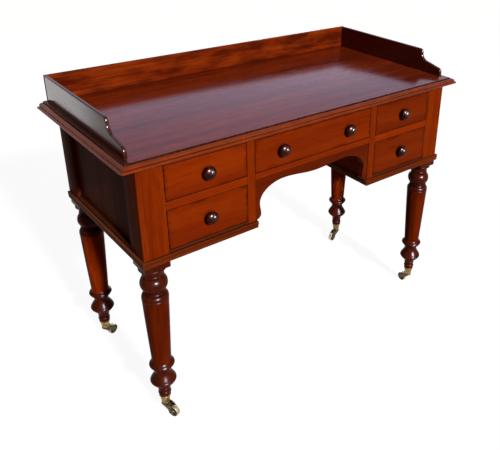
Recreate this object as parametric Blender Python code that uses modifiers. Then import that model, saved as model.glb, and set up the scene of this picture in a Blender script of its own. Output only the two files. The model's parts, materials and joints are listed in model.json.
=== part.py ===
import math

import bmesh
import bpy

# Sizes are in metres. X runs along the front, Y to the back and Z up from the floor.
GAP = 0.0003                    # clearance where pieces meet
LEG_FACETS = 20                 # facets round a leg
SMALL_FACETS = 16               # facets round a knob, cup, wheel or pin
ARC_POINTS = 7                  # points along one rounded stretch of an outline

# Top board
SURFACE_HEIGHT = 0.750
TOP_LENGTH = 1.076
TOP_DEPTH = 0.495
TOP_THICKNESS = 0.018
TOP_OVERHANG_END = 0.038
TOP_OVERHANG_FRONT = 0.0225
TOP_OVERHANG_BACK = 0.0305

# Moulded edge of the top, from the surface down
EDGE_STEP = 0.003               # upright step at the edge of the surface
EDGE_LEDGE = 0.003              # flat ledge at the foot of the step
THUMB_WIDTH = 0.008
QUIRK_HEIGHT = 0.0015           # groove between the thumb and the bead
QUIRK_DEPTH = 0.0015
EDGE_BEAD_HEIGHT = 0.007
EDGE_BEAD_PROJECTION = 0.006    # how far the bead stands out past the thumb

# Gallery round three sides of the top
GALLERY_HEIGHT = 0.068          # above the surface of the top
GALLERY_THICKNESS = 0.0085
GALLERY_END_INSET = 0.027
GALLERY_FRONT_INSET = 0.0415
GALLERY_HOUSING = 0.003         # depth of the groove in the top that holds the gallery
SCROLL_SHOULDER_LENGTH = 0.0115     # rounded shoulder where the scroll starts
SCROLL_SHOULDER_HEIGHT = 0.013
SCROLL_COVE_LENGTH = 0.0275     # hollow below the shoulder
SCROLL_COVE_HEIGHT = 0.022
SCROLL_SLOPE_LENGTH = 0.035     # gentle slope from the hollow to the nose
SCROLL_SLOPE_DROP = 0.008
SCROLL_NOSE_LENGTH = 0.0145     # rounded nose at the front end
SCROLL_NOSE_HEIGHT = 0.014

# Carcase, from the top down
POST_SIZE = 0.064
TOP_RAIL_HEIGHT = 0.012
TOP_RAIL_DEPTH = 0.060
UPPER_DRAWER_HEIGHT = 0.089
DRAWER_RAIL_HEIGHT = 0.021
CENTRE_RAIL_HEIGHT = 0.015
DRAWER_RAIL_DEPTH = 0.050
LOWER_DRAWER_HEIGHT = 0.1035
BOTTOM_BOARD_THICKNESS = 0.020
BOTTOM_REVEAL = 0.0075          # edge of the bottom board that shows above the base moulding
DUST_BOARD_THICKNESS = 0.010
BACK_BOARD_THICKNESS = 0.012
BACK_BOARD_INSET = 0.004
SIDE_DRAWER_WIDTH = 0.218
DIVIDER_WIDTH = 0.0225
END_PANEL_THICKNESS = 0.016
END_PANEL_RECESS = 0.010
END_PANEL_TONGUE = 0.008        # depth of the panel's edge in the post

# Base moulding
BASE_HEIGHT = 0.018
BASE_PROJECTION = 0.006
BASE_FILLET_HEIGHT = 0.002
BASE_FILLET_PROJECTION = 0.0025
BASE_BEAD_HEIGHT = 0.009
BASE_PLINTH_PROJECTION = 0.0045

# Apron over the kneehole
APRON_THICKNESS = 0.018
APRON_RECESS = 0.0015
APRON_CREST_DEPTH = 0.0215      # depth of the apron at its two crests
APRON_CREST_SPREAD = 0.206      # distance between the crests
APRON_CENTRE_DROP = 0.0085
APRON_LEG_WIDTH = 0.0145
APRON_KNEE_HEIGHT = 0.050
APRON_FOOT_SWELL = 0.0035
APRON_FOOT_HEIGHT = 0.0152

# Turned legs, from the post down
POST_DROP = 0.018               # square post showing below the base moulding
CAPITAL_RING_DIAMETER = 0.063
CAPITAL_RING_HEIGHT = 0.008
CAPITAL_COVE_HEIGHT = 0.013
CAPITAL_NECK_DIAMETER = 0.053
COLLAR_DIAMETER = 0.057
COLLAR_HEIGHT = 0.007
COLLAR_NECK_HEIGHT = 0.006      # plain neck between the collar and the ball
BALL_DIAMETER = 0.066
BALL_HEIGHT = 0.033
BALL_NECK_DIAMETER = 0.051
BALL_NECK_HEIGHT = 0.007
SHOULDER_DIAMETER = 0.065
SHOULDER_HEIGHT = 0.012
ANKLE_TOP_DIAMETER = 0.0478     # foot of the tapered shaft
RING_DIAMETER = 0.063
RING_HEIGHT = 0.030
RING_NECK_DIAMETER = 0.036
RING_NECK_HEIGHT = 0.012
LOW_BALL_DIAMETER = 0.066
LOW_BALL_HEIGHT = 0.047
ANKLE_DIAMETER = 0.0305
ANKLE_HEIGHT = 0.026
ANKLE_RING_DIAMETER = 0.0325
ANKLE_RING_HEIGHT = 0.008

# Drawers
DRAWER_CLEARANCE = 0.0015       # gap round a drawer front
DRAWER_BACK_CLEARANCE = 0.021   # room behind a closed drawer
DRAWER_FRONT_THICKNESS = 0.020
DRAWER_SIDE_THICKNESS = 0.009
DRAWER_SIDE_DROP = 0.005        # sides stop short of the front's top edge
DRAWER_LAP = 0.012              # length of the side let into the front
DRAWER_BOTTOM_THICKNESS = 0.006
DRAWER_BOTTOM_RISE = 0.008      # bottom's height above the lower edge of the sides
DRAWER_GROOVE = 0.004           # depth of the groove that holds the bottom

# Knobs
KNOB_DIAMETER = 0.035
KNOB_PROJECTION = 0.021
KNOB_FOOT_DIAMETER = 0.023
KNOB_FOOT_HEIGHT = 0.003
KNOB_NECK_DIAMETER = 0.017
KNOB_NECK_HEIGHT = 0.004
KNOB_RIM_HEIGHT = 0.006         # from the neck to the widest part of the head
KNOB_SHANK_DIAMETER = 0.010
KNOB_SHANK_END = 0.002          # shank showing inside the drawer
CENTRE_KNOB_SPREAD = 0.224

# Castors
CASTOR_HEIGHT = 0.060
CUP_HEIGHT = 0.020
CUP_RIM_DIAMETER = 0.029
CUP_RIM_HEIGHT = 0.004
CUP_BASE_DIAMETER = 0.022
CUP_WALL = 0.0022
CUP_FLOOR = 0.0035
PIN_DIAMETER = 0.006
PIN_HEAD_DIAMETER = 0.010
PIN_HEAD_HEIGHT = 0.002
TRAIL = 0.024                   # from the swivel axis to the wheel's axle
WHEEL_DIAMETER = 0.032
WHEEL_WIDTH = 0.012
WHEEL_EDGE_ROUND = 0.002
AXLE_DIAMETER = 0.0045
AXLE_CLEARANCE = 0.0001         # running clearance round the axle and the pin
HORN_PLATE_DIAMETER = 0.022
HORN_PLATE_THICKNESS = 0.006
CHEEK_THICKNESS = 0.0028
CHEEK_CLEARANCE = 0.0006
CHEEK_EYE_DIAMETER = 0.012

# Heading of each castor's wheel from its leg, degrees anticlockwise from +X
HEADINGS = {"front_left": 295.0, "back_left": 20.0, "front_right": 90.0, "back_right": 190.0}

# Heights and places worked out from the sizes above
TOP_UNDERSIDE = SURFACE_HEIGHT - TOP_THICKNESS
CARCASE_TOP = TOP_UNDERSIDE - GAP
UPPER_DRAWER_TOP = TOP_UNDERSIDE - TOP_RAIL_HEIGHT
UPPER_DRAWER_FLOOR = UPPER_DRAWER_TOP - UPPER_DRAWER_HEIGHT
LOWER_DRAWER_TOP = UPPER_DRAWER_FLOOR - DRAWER_RAIL_HEIGHT
LOWER_DRAWER_FLOOR = LOWER_DRAWER_TOP - LOWER_DRAWER_HEIGHT
CARCASE_BOTTOM = LOWER_DRAWER_FLOOR - BOTTOM_BOARD_THICKNESS
BASE_TOP = LOWER_DRAWER_FLOOR - BOTTOM_REVEAL
BASE_BOTTOM = BASE_TOP - BASE_HEIGHT
POST_BOTTOM = BASE_BOTTOM - POST_DROP
CENTRE_RAIL_BOTTOM = UPPER_DRAWER_FLOOR - CENTRE_RAIL_HEIGHT
CARCASE_X = TOP_LENGTH / 2 - TOP_OVERHANG_END
FRONT_Y = TOP_OVERHANG_FRONT - TOP_DEPTH / 2        # front of the carcase
BACK_Y = TOP_DEPTH / 2 - TOP_OVERHANG_BACK          # back of the carcase
POST_INNER_X = CARCASE_X - POST_SIZE
FRONT_POST_INNER_Y = FRONT_Y + POST_SIZE
BACK_POST_INNER_Y = BACK_Y - POST_SIZE
GALLERY_OUTER_X = TOP_LENGTH / 2 - GALLERY_END_INSET
GALLERY_INNER_X = GALLERY_OUTER_X - GALLERY_THICKNESS
GALLERY_INNER_Y = TOP_DEPTH / 2 - GALLERY_THICKNESS
GALLERY_FRONT_Y = -TOP_DEPTH / 2 + GALLERY_FRONT_INSET
LEG_X = CARCASE_X - POST_SIZE / 2
LEG_Y = {"front": FRONT_Y + POST_SIZE / 2, "back": BACK_Y - POST_SIZE / 2}
DIVIDER_OUTER_X = POST_INNER_X - SIDE_DRAWER_WIDTH
DIVIDER_INNER_X = DIVIDER_OUTER_X - DIVIDER_WIDTH
BACK_INSIDE_Y = BACK_Y - BACK_BOARD_INSET - BACK_BOARD_THICKNESS
RAIL_BACK_Y = FRONT_Y + DRAWER_RAIL_DEPTH
DRAWER_LENGTH = BACK_INSIDE_Y - FRONT_Y - DRAWER_BACK_CLEARANCE
END_PANEL_OUTER_X = CARCASE_X - END_PANEL_RECESS
END_PANEL_INNER_X = END_PANEL_OUTER_X - END_PANEL_THICKNESS
END_PANEL_FRONT_Y = FRONT_POST_INNER_Y - END_PANEL_TONGUE
END_PANEL_BACK_Y = BACK_POST_INNER_Y + END_PANEL_TONGUE
CUP_BOTTOM = CASTOR_HEIGHT - CUP_HEIGHT
WHEEL_AXLE_Z = WHEEL_DIAMETER / 2 * math.cos(math.pi / SMALL_FACETS)    # a flat of the wheel is on the floor
SIDES = {"left": -1, "right": 1}
FACING_FRONT = (math.pi / 2, 0, 0)      # turns a piece's own Z to the front

for old in list(bpy.data.objects):
    bpy.data.objects.remove(old)


def new_collection(name):
    made = bpy.data.collections.new(name)
    bpy.context.scene.collection.children.link(made)
    return made


table = new_collection("writing_table")
cutters = new_collection("cutters")


def finish(name, colour, roughness, metallic=0.0):
    made = bpy.data.materials.new(name)
    made.use_nodes = True
    shader = made.node_tree.nodes["Principled BSDF"]
    shader.inputs["Base Color"].default_value = (*colour, 1.0)
    shader.inputs["Roughness"].default_value = roughness
    shader.inputs["Metallic"].default_value = metallic
    return made


mahogany = finish("polished_mahogany", (0.30, 0.10, 0.03), 0.25)
leg_wood = finish("dark_mahogany", (0.17, 0.05, 0.02), 0.25)
knob_wood = finish("stained_knob", (0.05, 0.015, 0.01), 0.2)
lining = finish("pale_lining", (0.50, 0.34, 0.18), 0.6)
brass = finish("aged_brass", (0.45, 0.32, 0.12), 0.35, 1.0)


# Objects

def add_object(name, mesh, material, parent=None, location=(0, 0, 0), rotation=(0, 0, 0)):
    made = bpy.data.objects.new(name, mesh)
    table.objects.link(made)
    made.parent = parent
    made.location = location
    made.rotation_euler = rotation
    mesh.materials.append(material)
    return made


def add_pivot(name, location, heading=0.0):
    made = bpy.data.objects.new(name, None)
    table.objects.link(made)
    made.location = location
    made.rotation_euler = (0, 0, heading)
    return made


def as_cutter(piece):
    table.objects.unlink(piece)
    cutters.objects.link(piece)
    piece.hide_render = True
    piece.display_type = "WIRE"
    return piece


def combine(piece, other, operation):
    modifier = piece.modifiers.new(other.name, "BOOLEAN")
    modifier.operation = operation
    modifier.object = as_cutter(other)


def cut(piece, other):
    combine(piece, other, "DIFFERENCE")


def join(piece, other):
    combine(piece, other, "UNION")


def box(name, low, high, material, parent=None):
    mesh = bpy.data.meshes.new(name)
    shape = bmesh.new()
    bmesh.ops.create_cube(shape, size=1.0)
    bmesh.ops.scale(shape, vec=[h - l for l, h in zip(low, high)], verts=shape.verts)
    shape.to_mesh(mesh)
    shape.free()
    middle = [(l + h) / 2 for l, h in zip(low, high)]
    return add_object(name, mesh, material, parent, middle)


def rod(name, diameter, length, material, parent, middle):
    # A plain round bar that lies along Y.
    mesh = bpy.data.meshes.new(name)
    shape = bmesh.new()
    sizes = {"segments": SMALL_FACETS, "radius1": diameter / 2, "radius2": diameter / 2, "depth": length}
    bmesh.ops.create_cone(shape, cap_ends=True, **sizes)
    shape.to_mesh(mesh)
    shape.free()
    return add_object(name, mesh, material, parent, middle, FACING_FRONT)


def turning(name, profile, closed, facets, material, parent=None, location=(0, 0, 0), rotation=(0, 0, 0)):
    # A turned piece: the profile holds (radius, height) pairs, down its outer side.
    mesh = bpy.data.meshes.new(name)
    last = len(profile) - 1
    edges = [(i, i + 1) for i in range(last)]
    if closed:
        edges.append((last, 0))
    mesh.from_pydata([(radius, 0, height) for radius, height in profile], edges, [])
    made = add_object(name, mesh, material, parent, location, rotation)
    screw = made.modifiers.new("turning", "SCREW")
    screw.axis = "Z"
    screw.steps = facets
    screw.render_steps = facets
    screw.use_merge_vertices = True
    screw.merge_threshold = 0.00001
    screw.use_smooth_shade = True
    return made


def outline_board(name, points, thickness, material, location=(0, 0, 0), rotation=(0, 0, 0), parent=None):
    # A flat board cut to an outline in its own XY plane.
    curve = bpy.data.curves.new(name, "CURVE")
    curve.dimensions = "2D"
    curve.fill_mode = "BOTH"
    curve.extrude = thickness / 2
    spline = curve.splines.new("POLY")
    spline.points.add(len(points) - 1)
    for point, (x, y) in zip(spline.points, points):
        point.co = (x, y, 0, 1)
    spline.use_cyclic_u = True
    drawn = bpy.data.objects.new(name + "_outline", curve)
    table.objects.link(drawn)
    evaluated = drawn.evaluated_get(bpy.context.evaluated_depsgraph_get())
    mesh = bpy.data.meshes.new_from_object(evaluated)
    mesh.name = name
    bpy.data.objects.remove(drawn)
    bpy.data.curves.remove(curve)
    shape = bmesh.new()
    shape.from_mesh(mesh)
    bmesh.ops.remove_doubles(shape, verts=shape.verts, dist=0.00001)
    bmesh.ops.recalc_face_normals(shape, faces=shape.faces)
    shape.to_mesh(mesh)
    shape.free()
    mesh.materials.clear()
    return add_object(name, mesh, material, parent, location, rotation)


def moulded_slab(name, profile, ends, front, back, material):
    # A slab moulded on its front and both ends. Each (inset, height) pair, going up, is one extrusion of the
    # slab's face. The moulding that this leaves at the back is then trimmed off.
    widest = max(inset for inset, height in profile)
    past_back = back + 2 * widest

    def corners(inset):
        left, right = ends[0] + inset, ends[1] - inset
        near, far = front + inset, past_back - inset
        return [(left, near), (right, near), (right, far), (left, far)]

    shape = bmesh.new()
    inset, height = profile[0]
    underside = shape.faces.new([shape.verts.new((x, y, height)) for x, y in corners(inset)])
    face = underside
    for inset, height in profile[1:]:
        grown = bmesh.ops.extrude_face_region(shape, geom=[face])
        if face is not underside:
            bmesh.ops.delete(shape, geom=[face], context="FACES_ONLY")
        face = next(item for item in grown["geom"] if isinstance(item, bmesh.types.BMFace))
        for vertex, (x, y) in zip(face.verts, corners(inset)):
            vertex.co = (x, y, height)
    bmesh.ops.recalc_face_normals(shape, faces=shape.faces)
    mesh = bpy.data.meshes.new(name)
    shape.to_mesh(mesh)
    shape.free()
    made = add_object(name, mesh, material)
    low = (ends[0] - widest, back, profile[0][1] - widest)
    high = (ends[1] + widest, past_back + widest, profile[-1][1] + widest)
    cut(made, box(name + "_trim", low, high, material))
    return made


def arc(centre, across, up, start, end, count=ARC_POINTS):
    # Points on an ellipse's arc, from one angle to another, in degrees.
    angles = [math.radians(start + (end - start) * i / (count - 1)) for i in range(count)]
    return [(centre[0] + across * math.cos(a), centre[1] + up * math.sin(a)) for a in angles]


def bead(top, bottom, root, crest, count=ARC_POINTS):
    # A round bead on a turned profile, between two heights.
    middle, half = (top + bottom) / 2, (top - bottom) / 2
    return arc((root / 2, middle), (crest - root) / 2, half, 90, -90, count)


def span(side, first, second):
    return sorted((side * first, side * second))


# Top and gallery

def build_top():
    half_x, half_y = TOP_LENGTH / 2, TOP_DEPTH / 2
    bead_top = TOP_UNDERSIDE + EDGE_BEAD_HEIGHT
    thumb_foot = bead_top + QUIRK_HEIGHT
    ledge = SURFACE_HEIGHT - EDGE_STEP
    quirk_inset = EDGE_BEAD_PROJECTION + QUIRK_DEPTH
    thumb_inset = EDGE_BEAD_PROJECTION + THUMB_WIDTH
    step_inset = thumb_inset + EDGE_LEDGE
    bead_middle = (EDGE_BEAD_PROJECTION, TOP_UNDERSIDE + EDGE_BEAD_HEIGHT / 2)
    profile = arc(bead_middle, -EDGE_BEAD_PROJECTION, EDGE_BEAD_HEIGHT / 2, -90, 90)
    profile += [(quirk_inset, bead_top), (quirk_inset, thumb_foot)]
    profile += arc((thumb_inset, thumb_foot), -THUMB_WIDTH, ledge - thumb_foot, 0, 90)
    profile += [(step_inset, ledge), (step_inset, SURFACE_HEIGHT)]
    top = moulded_slab("top_board", profile, (-half_x, half_x), -half_y, half_y, mahogany)
    outer, inner = GALLERY_OUTER_X + GAP, GALLERY_INNER_X - GAP
    front, inside, past_back = GALLERY_FRONT_Y - GAP, GALLERY_INNER_Y - GAP, half_y + GALLERY_THICKNESS
    groove = [(-outer, front), (-inner, front), (-inner, inside), (inner, inside),
              (inner, front), (outer, front), (outer, past_back), (-outer, past_back)]
    depth = 2 * GALLERY_HOUSING
    cut(top, outline_board("gallery_groove", groove, depth, mahogany, (0, 0, SURFACE_HEIGHT)))


def build_gallery():
    foot = GAP - GALLERY_HOUSING
    low = (-GALLERY_OUTER_X, GALLERY_INNER_Y, SURFACE_HEIGHT + foot)
    high = (GALLERY_OUTER_X, TOP_DEPTH / 2, SURFACE_HEIGHT + GALLERY_HEIGHT)
    box("gallery_back", low, high, mahogany)
    front, back = GALLERY_FRONT_Y, GALLERY_INNER_Y - GAP
    nose_y = front + SCROLL_NOSE_LENGTH
    hollow_y = nose_y + SCROLL_SLOPE_LENGTH
    shoulder_y = hollow_y + SCROLL_COVE_LENGTH + SCROLL_SHOULDER_LENGTH
    step = GALLERY_HEIGHT - SCROLL_SHOULDER_HEIGHT
    end = step - SCROLL_COVE_HEIGHT - SCROLL_SLOPE_DROP - SCROLL_NOSE_HEIGHT
    outline = [(back, foot), (back, GALLERY_HEIGHT)]
    outline += arc((shoulder_y, step), SCROLL_SHOULDER_LENGTH, SCROLL_SHOULDER_HEIGHT, 90, 180)
    outline += arc((hollow_y, step), SCROLL_COVE_LENGTH, -SCROLL_COVE_HEIGHT, 0, 90)[1:]
    outline += arc((nose_y, end), SCROLL_NOSE_LENGTH, SCROLL_NOSE_HEIGHT, 90, 180)
    outline.append((front, foot))
    upright = (math.pi / 2, 0, math.pi / 2)
    for label, side in SIDES.items():
        middle = side * (GALLERY_OUTER_X - GALLERY_THICKNESS / 2)
        place = (middle, 0, SURFACE_HEIGHT)
        outline_board("gallery_" + label, outline, GALLERY_THICKNESS, mahogany, place, upright)


# Legs

def leg_profile():
    # From the middle of the post's foot down to the peg in the castor cup.
    ring_top = POST_BOTTOM
    cove_top = ring_top - CAPITAL_RING_HEIGHT
    collar_top = cove_top - CAPITAL_COVE_HEIGHT
    collar_bottom = collar_top - COLLAR_HEIGHT
    ball_top = collar_bottom - COLLAR_NECK_HEIGHT
    ball_bottom = ball_top - BALL_HEIGHT
    shoulder_top = ball_bottom - BALL_NECK_HEIGHT
    ankle_ring_bottom = CASTOR_HEIGHT + GAP
    ankle_ring_top = ankle_ring_bottom + ANKLE_RING_HEIGHT
    low_ball_bottom = ankle_ring_top + ANKLE_HEIGHT
    low_ball_top = low_ball_bottom + LOW_BALL_HEIGHT
    ring_bottom = low_ball_top + RING_NECK_HEIGHT
    shaft_bottom = ring_bottom + RING_HEIGHT
    shoulder = SHOULDER_DIAMETER / 2
    neck = BALL_NECK_DIAMETER / 2
    cove_depth = (CAPITAL_RING_DIAMETER - CAPITAL_NECK_DIAMETER) / 2
    points = [(0, ring_top + POST_DROP / 2), (CAPITAL_RING_DIAMETER / 2, ring_top + POST_DROP / 2)]
    points += arc((CAPITAL_RING_DIAMETER / 2, collar_top), -cove_depth, CAPITAL_COVE_HEIGHT, 90, 0, 5)
    points += bead(collar_top, collar_bottom, CAPITAL_NECK_DIAMETER, COLLAR_DIAMETER, 5)[1:]
    points.append((CAPITAL_NECK_DIAMETER / 2, ball_top))
    points += bead(ball_top, ball_bottom, BALL_NECK_DIAMETER, BALL_DIAMETER)
    points.append((neck, shoulder_top))
    points += arc((neck, shoulder_top - SHOULDER_HEIGHT), shoulder - neck, SHOULDER_HEIGHT, 90, 0, 5)[1:]
    points.append((ANKLE_TOP_DIAMETER / 2, shaft_bottom))
    points += bead(shaft_bottom, ring_bottom, ANKLE_TOP_DIAMETER, RING_DIAMETER)[1:-1]
    points.append((RING_NECK_DIAMETER / 2, ring_bottom))
    points += bead(low_ball_top, low_ball_bottom, RING_NECK_DIAMETER, LOW_BALL_DIAMETER)[:-1]
    points.append((ANKLE_DIAMETER / 2, low_ball_bottom))
    points += bead(ankle_ring_top, ankle_ring_bottom, ANKLE_DIAMETER, ANKLE_RING_DIAMETER, 5)
    peg_foot = peg_bottom()
    points.append((cup_inside(ankle_ring_bottom) - GAP, ankle_ring_bottom))
    points.append((cup_inside(peg_foot) - GAP, peg_foot))
    points.append((0, peg_foot))
    return points


def build_leg(name, side, leg_y):
    leg = turning(name, leg_profile(), False, LEG_FACETS, leg_wood, None, (side * LEG_X, leg_y, 0))
    x_low, x_high = span(side, POST_INNER_X, CARCASE_X)
    half = POST_SIZE / 2
    low, high = (x_low, leg_y - half, POST_BOTTOM), (x_high, leg_y + half, CARCASE_TOP)
    join(leg, box(name + "_post", low, high, leg_wood))
    x_low, x_high = span(side, END_PANEL_INNER_X - GAP, END_PANEL_OUTER_X + GAP)
    low = (x_low, END_PANEL_FRONT_Y - GAP, LOWER_DRAWER_FLOOR)
    high = (x_high, END_PANEL_BACK_Y + GAP, CARCASE_TOP + POST_SIZE)
    cut(leg, box(name + "_groove", low, high, leg_wood))


# Carcase

def build_ends(label, side):
    x_low, x_high = span(side, END_PANEL_INNER_X, END_PANEL_OUTER_X)
    low = (x_low, END_PANEL_FRONT_Y, LOWER_DRAWER_FLOOR + GAP)
    box("end_panel_" + label, low, (x_high, END_PANEL_BACK_Y, CARCASE_TOP), mahogany)
    x_low, x_high = span(side, DIVIDER_INNER_X, DIVIDER_OUTER_X)
    low = (x_low, FRONT_Y, CARCASE_BOTTOM)
    high = (x_high, BACK_INSIDE_Y - GAP, UPPER_DRAWER_TOP - GAP)
    box("inner_side_" + label, low, high, mahogany)


def build_backs():
    back = BACK_Y - BACK_BOARD_INSET
    across = POST_INNER_X - GAP
    box("back_rail", (-across, BACK_INSIDE_Y, CENTRE_RAIL_BOTTOM), (across, back, CARCASE_TOP), lining)
    for label, side in SIDES.items():
        x_low, x_high = span(side, DIVIDER_INNER_X, across)
        low = (x_low, BACK_INSIDE_Y, CARCASE_BOTTOM)
        box("pedestal_back_" + label, low, (x_high, back, CENTRE_RAIL_BOTTOM - GAP), lining)


def shelf_outline(side, front, outer_x):
    # A board between the inner side and the end, notched round both posts.
    inner = side * (DIVIDER_OUTER_X + GAP)
    post_x = side * (POST_INNER_X - GAP)
    outer = side * outer_x
    near, far = FRONT_POST_INNER_Y + GAP, BACK_POST_INNER_Y - GAP
    back = BACK_INSIDE_Y - GAP
    return [(inner, front), (post_x, front), (post_x, near), (outer, near),
            (outer, far), (post_x, far), (post_x, back), (inner, back)]


def build_shelves(label, side):
    x_low, x_high = span(side, DIVIDER_OUTER_X + GAP, POST_INNER_X - GAP)
    low = (x_low, FRONT_Y, LOWER_DRAWER_TOP)
    box("drawer_rail_" + label, low, (x_high, RAIL_BACK_Y, UPPER_DRAWER_FLOOR), mahogany)
    dust = shelf_outline(side, RAIL_BACK_Y + GAP, END_PANEL_INNER_X - GAP)
    dust_z = UPPER_DRAWER_FLOOR - DUST_BOARD_THICKNESS / 2
    outline_board("dust_board_" + label, dust, DUST_BOARD_THICKNESS, lining, (0, 0, dust_z))
    bottom = shelf_outline(side, FRONT_Y, CARCASE_X)
    bottom_z = LOWER_DRAWER_FLOOR - BOTTOM_BOARD_THICKNESS / 2
    outline_board("pedestal_bottom_" + label, bottom, BOTTOM_BOARD_THICKNESS, mahogany, (0, 0, bottom_z))


def build_centre():
    across = POST_INNER_X - GAP
    high = (across, FRONT_Y + TOP_RAIL_DEPTH, CARCASE_TOP)
    box("top_rail", (-across, FRONT_Y, UPPER_DRAWER_TOP), high, mahogany)
    across = DIVIDER_INNER_X - GAP
    low = (-across, FRONT_Y, CENTRE_RAIL_BOTTOM)
    box("drawer_rail_centre", low, (across, RAIL_BACK_Y, UPPER_DRAWER_FLOOR), mahogany)
    low = (-across, RAIL_BACK_Y + GAP, UPPER_DRAWER_FLOOR - DUST_BOARD_THICKNESS)
    box("dust_board_centre", low, (across, BACK_INSIDE_Y - GAP, UPPER_DRAWER_FLOOR), lining)


def apron_edge():
    # Lower edge of the right half, from the middle out to the foot by the divider.
    crest_x = APRON_CREST_SPREAD / 2
    crest = CENTRE_RAIL_BOTTOM - APRON_CREST_DEPTH
    outer = DIVIDER_INNER_X - GAP
    knee_x = outer - APRON_LEG_WIDTH
    knee = crest - APRON_KNEE_HEIGHT
    foot = BASE_TOP + GAP
    swell = foot + APRON_FOOT_HEIGHT
    points = []
    for i in range(ARC_POINTS):
        share = i / ARC_POINTS
        rise = (1 - math.cos(math.pi * share)) / 2
        points.append((crest_x * share, crest - APRON_CENTRE_DROP * (1 - rise)))
    points += arc((crest_x, knee), knee_x - crest_x, APRON_KNEE_HEIGHT, 90, 0)
    for i in range(1, ARC_POINTS):
        share = i / ARC_POINTS
        swelling = APRON_FOOT_SWELL * (1 - math.cos(math.pi * share)) / 2
        points.append((knee_x - swelling, knee + (swell - knee) * share))
    foot_width = APRON_LEG_WIDTH + APRON_FOOT_SWELL
    points += arc((outer, swell), -foot_width, -APRON_FOOT_HEIGHT, 0, 90)
    return points


def build_apron():
    right = apron_edge()
    top = CENTRE_RAIL_BOTTOM - GAP
    outer = right[-1][0]
    left = [(-x, z) for x, z in right[:0:-1]]
    outline = left + right + [(outer, top), (-outer, top)]
    y = FRONT_Y + APRON_RECESS + APRON_THICKNESS / 2
    outline_board("apron", outline, APRON_THICKNESS, mahogany, (0, y, 0), FACING_FRONT)


def build_base_moulding(label, side):
    ends = span(side, DIVIDER_INNER_X - BASE_PROJECTION, CARCASE_X + BASE_PROJECTION)
    front = FRONT_Y - BASE_PROJECTION
    plinth_inset = BASE_PROJECTION - BASE_PLINTH_PROJECTION
    fillet_inset = BASE_PROJECTION - BASE_FILLET_PROJECTION
    bead_top = BASE_TOP - BASE_FILLET_HEIGHT
    bead_bottom = bead_top - BASE_BEAD_HEIGHT
    profile = [(plinth_inset, BASE_BOTTOM), (plinth_inset, bead_bottom)]
    bead_middle = (bead_top + bead_bottom) / 2
    profile += arc((fillet_inset, bead_middle), -fillet_inset, BASE_BEAD_HEIGHT / 2, -90, 90)
    profile.append((fillet_inset, BASE_TOP))
    moulding = moulded_slab("base_moulding_" + label, profile, ends, front, BACK_Y, mahogany)
    x_low, x_high = span(side, DIVIDER_INNER_X - GAP, CARCASE_X + GAP)
    low = (x_low, FRONT_Y - GAP, BASE_BOTTOM - BASE_HEIGHT)
    high = (x_high, BACK_Y + BASE_PROJECTION, BASE_TOP + BASE_HEIGHT)
    cut(moulding, box("pedestal_core_" + label, low, high, mahogany))


# Drawers and knobs

def knob_profile():
    foot, neck, rim = KNOB_FOOT_DIAMETER / 2, KNOB_NECK_DIAMETER / 2, KNOB_DIAMETER / 2
    shank = KNOB_SHANK_DIAMETER / 2
    back = -DRAWER_FRONT_THICKNESS - KNOB_SHANK_END
    neck_end = KNOB_FOOT_HEIGHT + KNOB_NECK_HEIGHT
    widest = neck_end + KNOB_RIM_HEIGHT
    points = [(0, KNOB_PROJECTION)]
    points += arc((0, widest), rim, KNOB_PROJECTION - widest, 90, 0, 6)[1:]
    points += arc((neck, widest), rim - neck, -KNOB_RIM_HEIGHT, 0, 90, 5)[1:]
    points += [(neck, KNOB_FOOT_HEIGHT), (foot, KNOB_FOOT_HEIGHT / 2), (foot, GAP)]
    points += [(shank, GAP), (shank, back), (0, back)]
    return points


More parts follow.
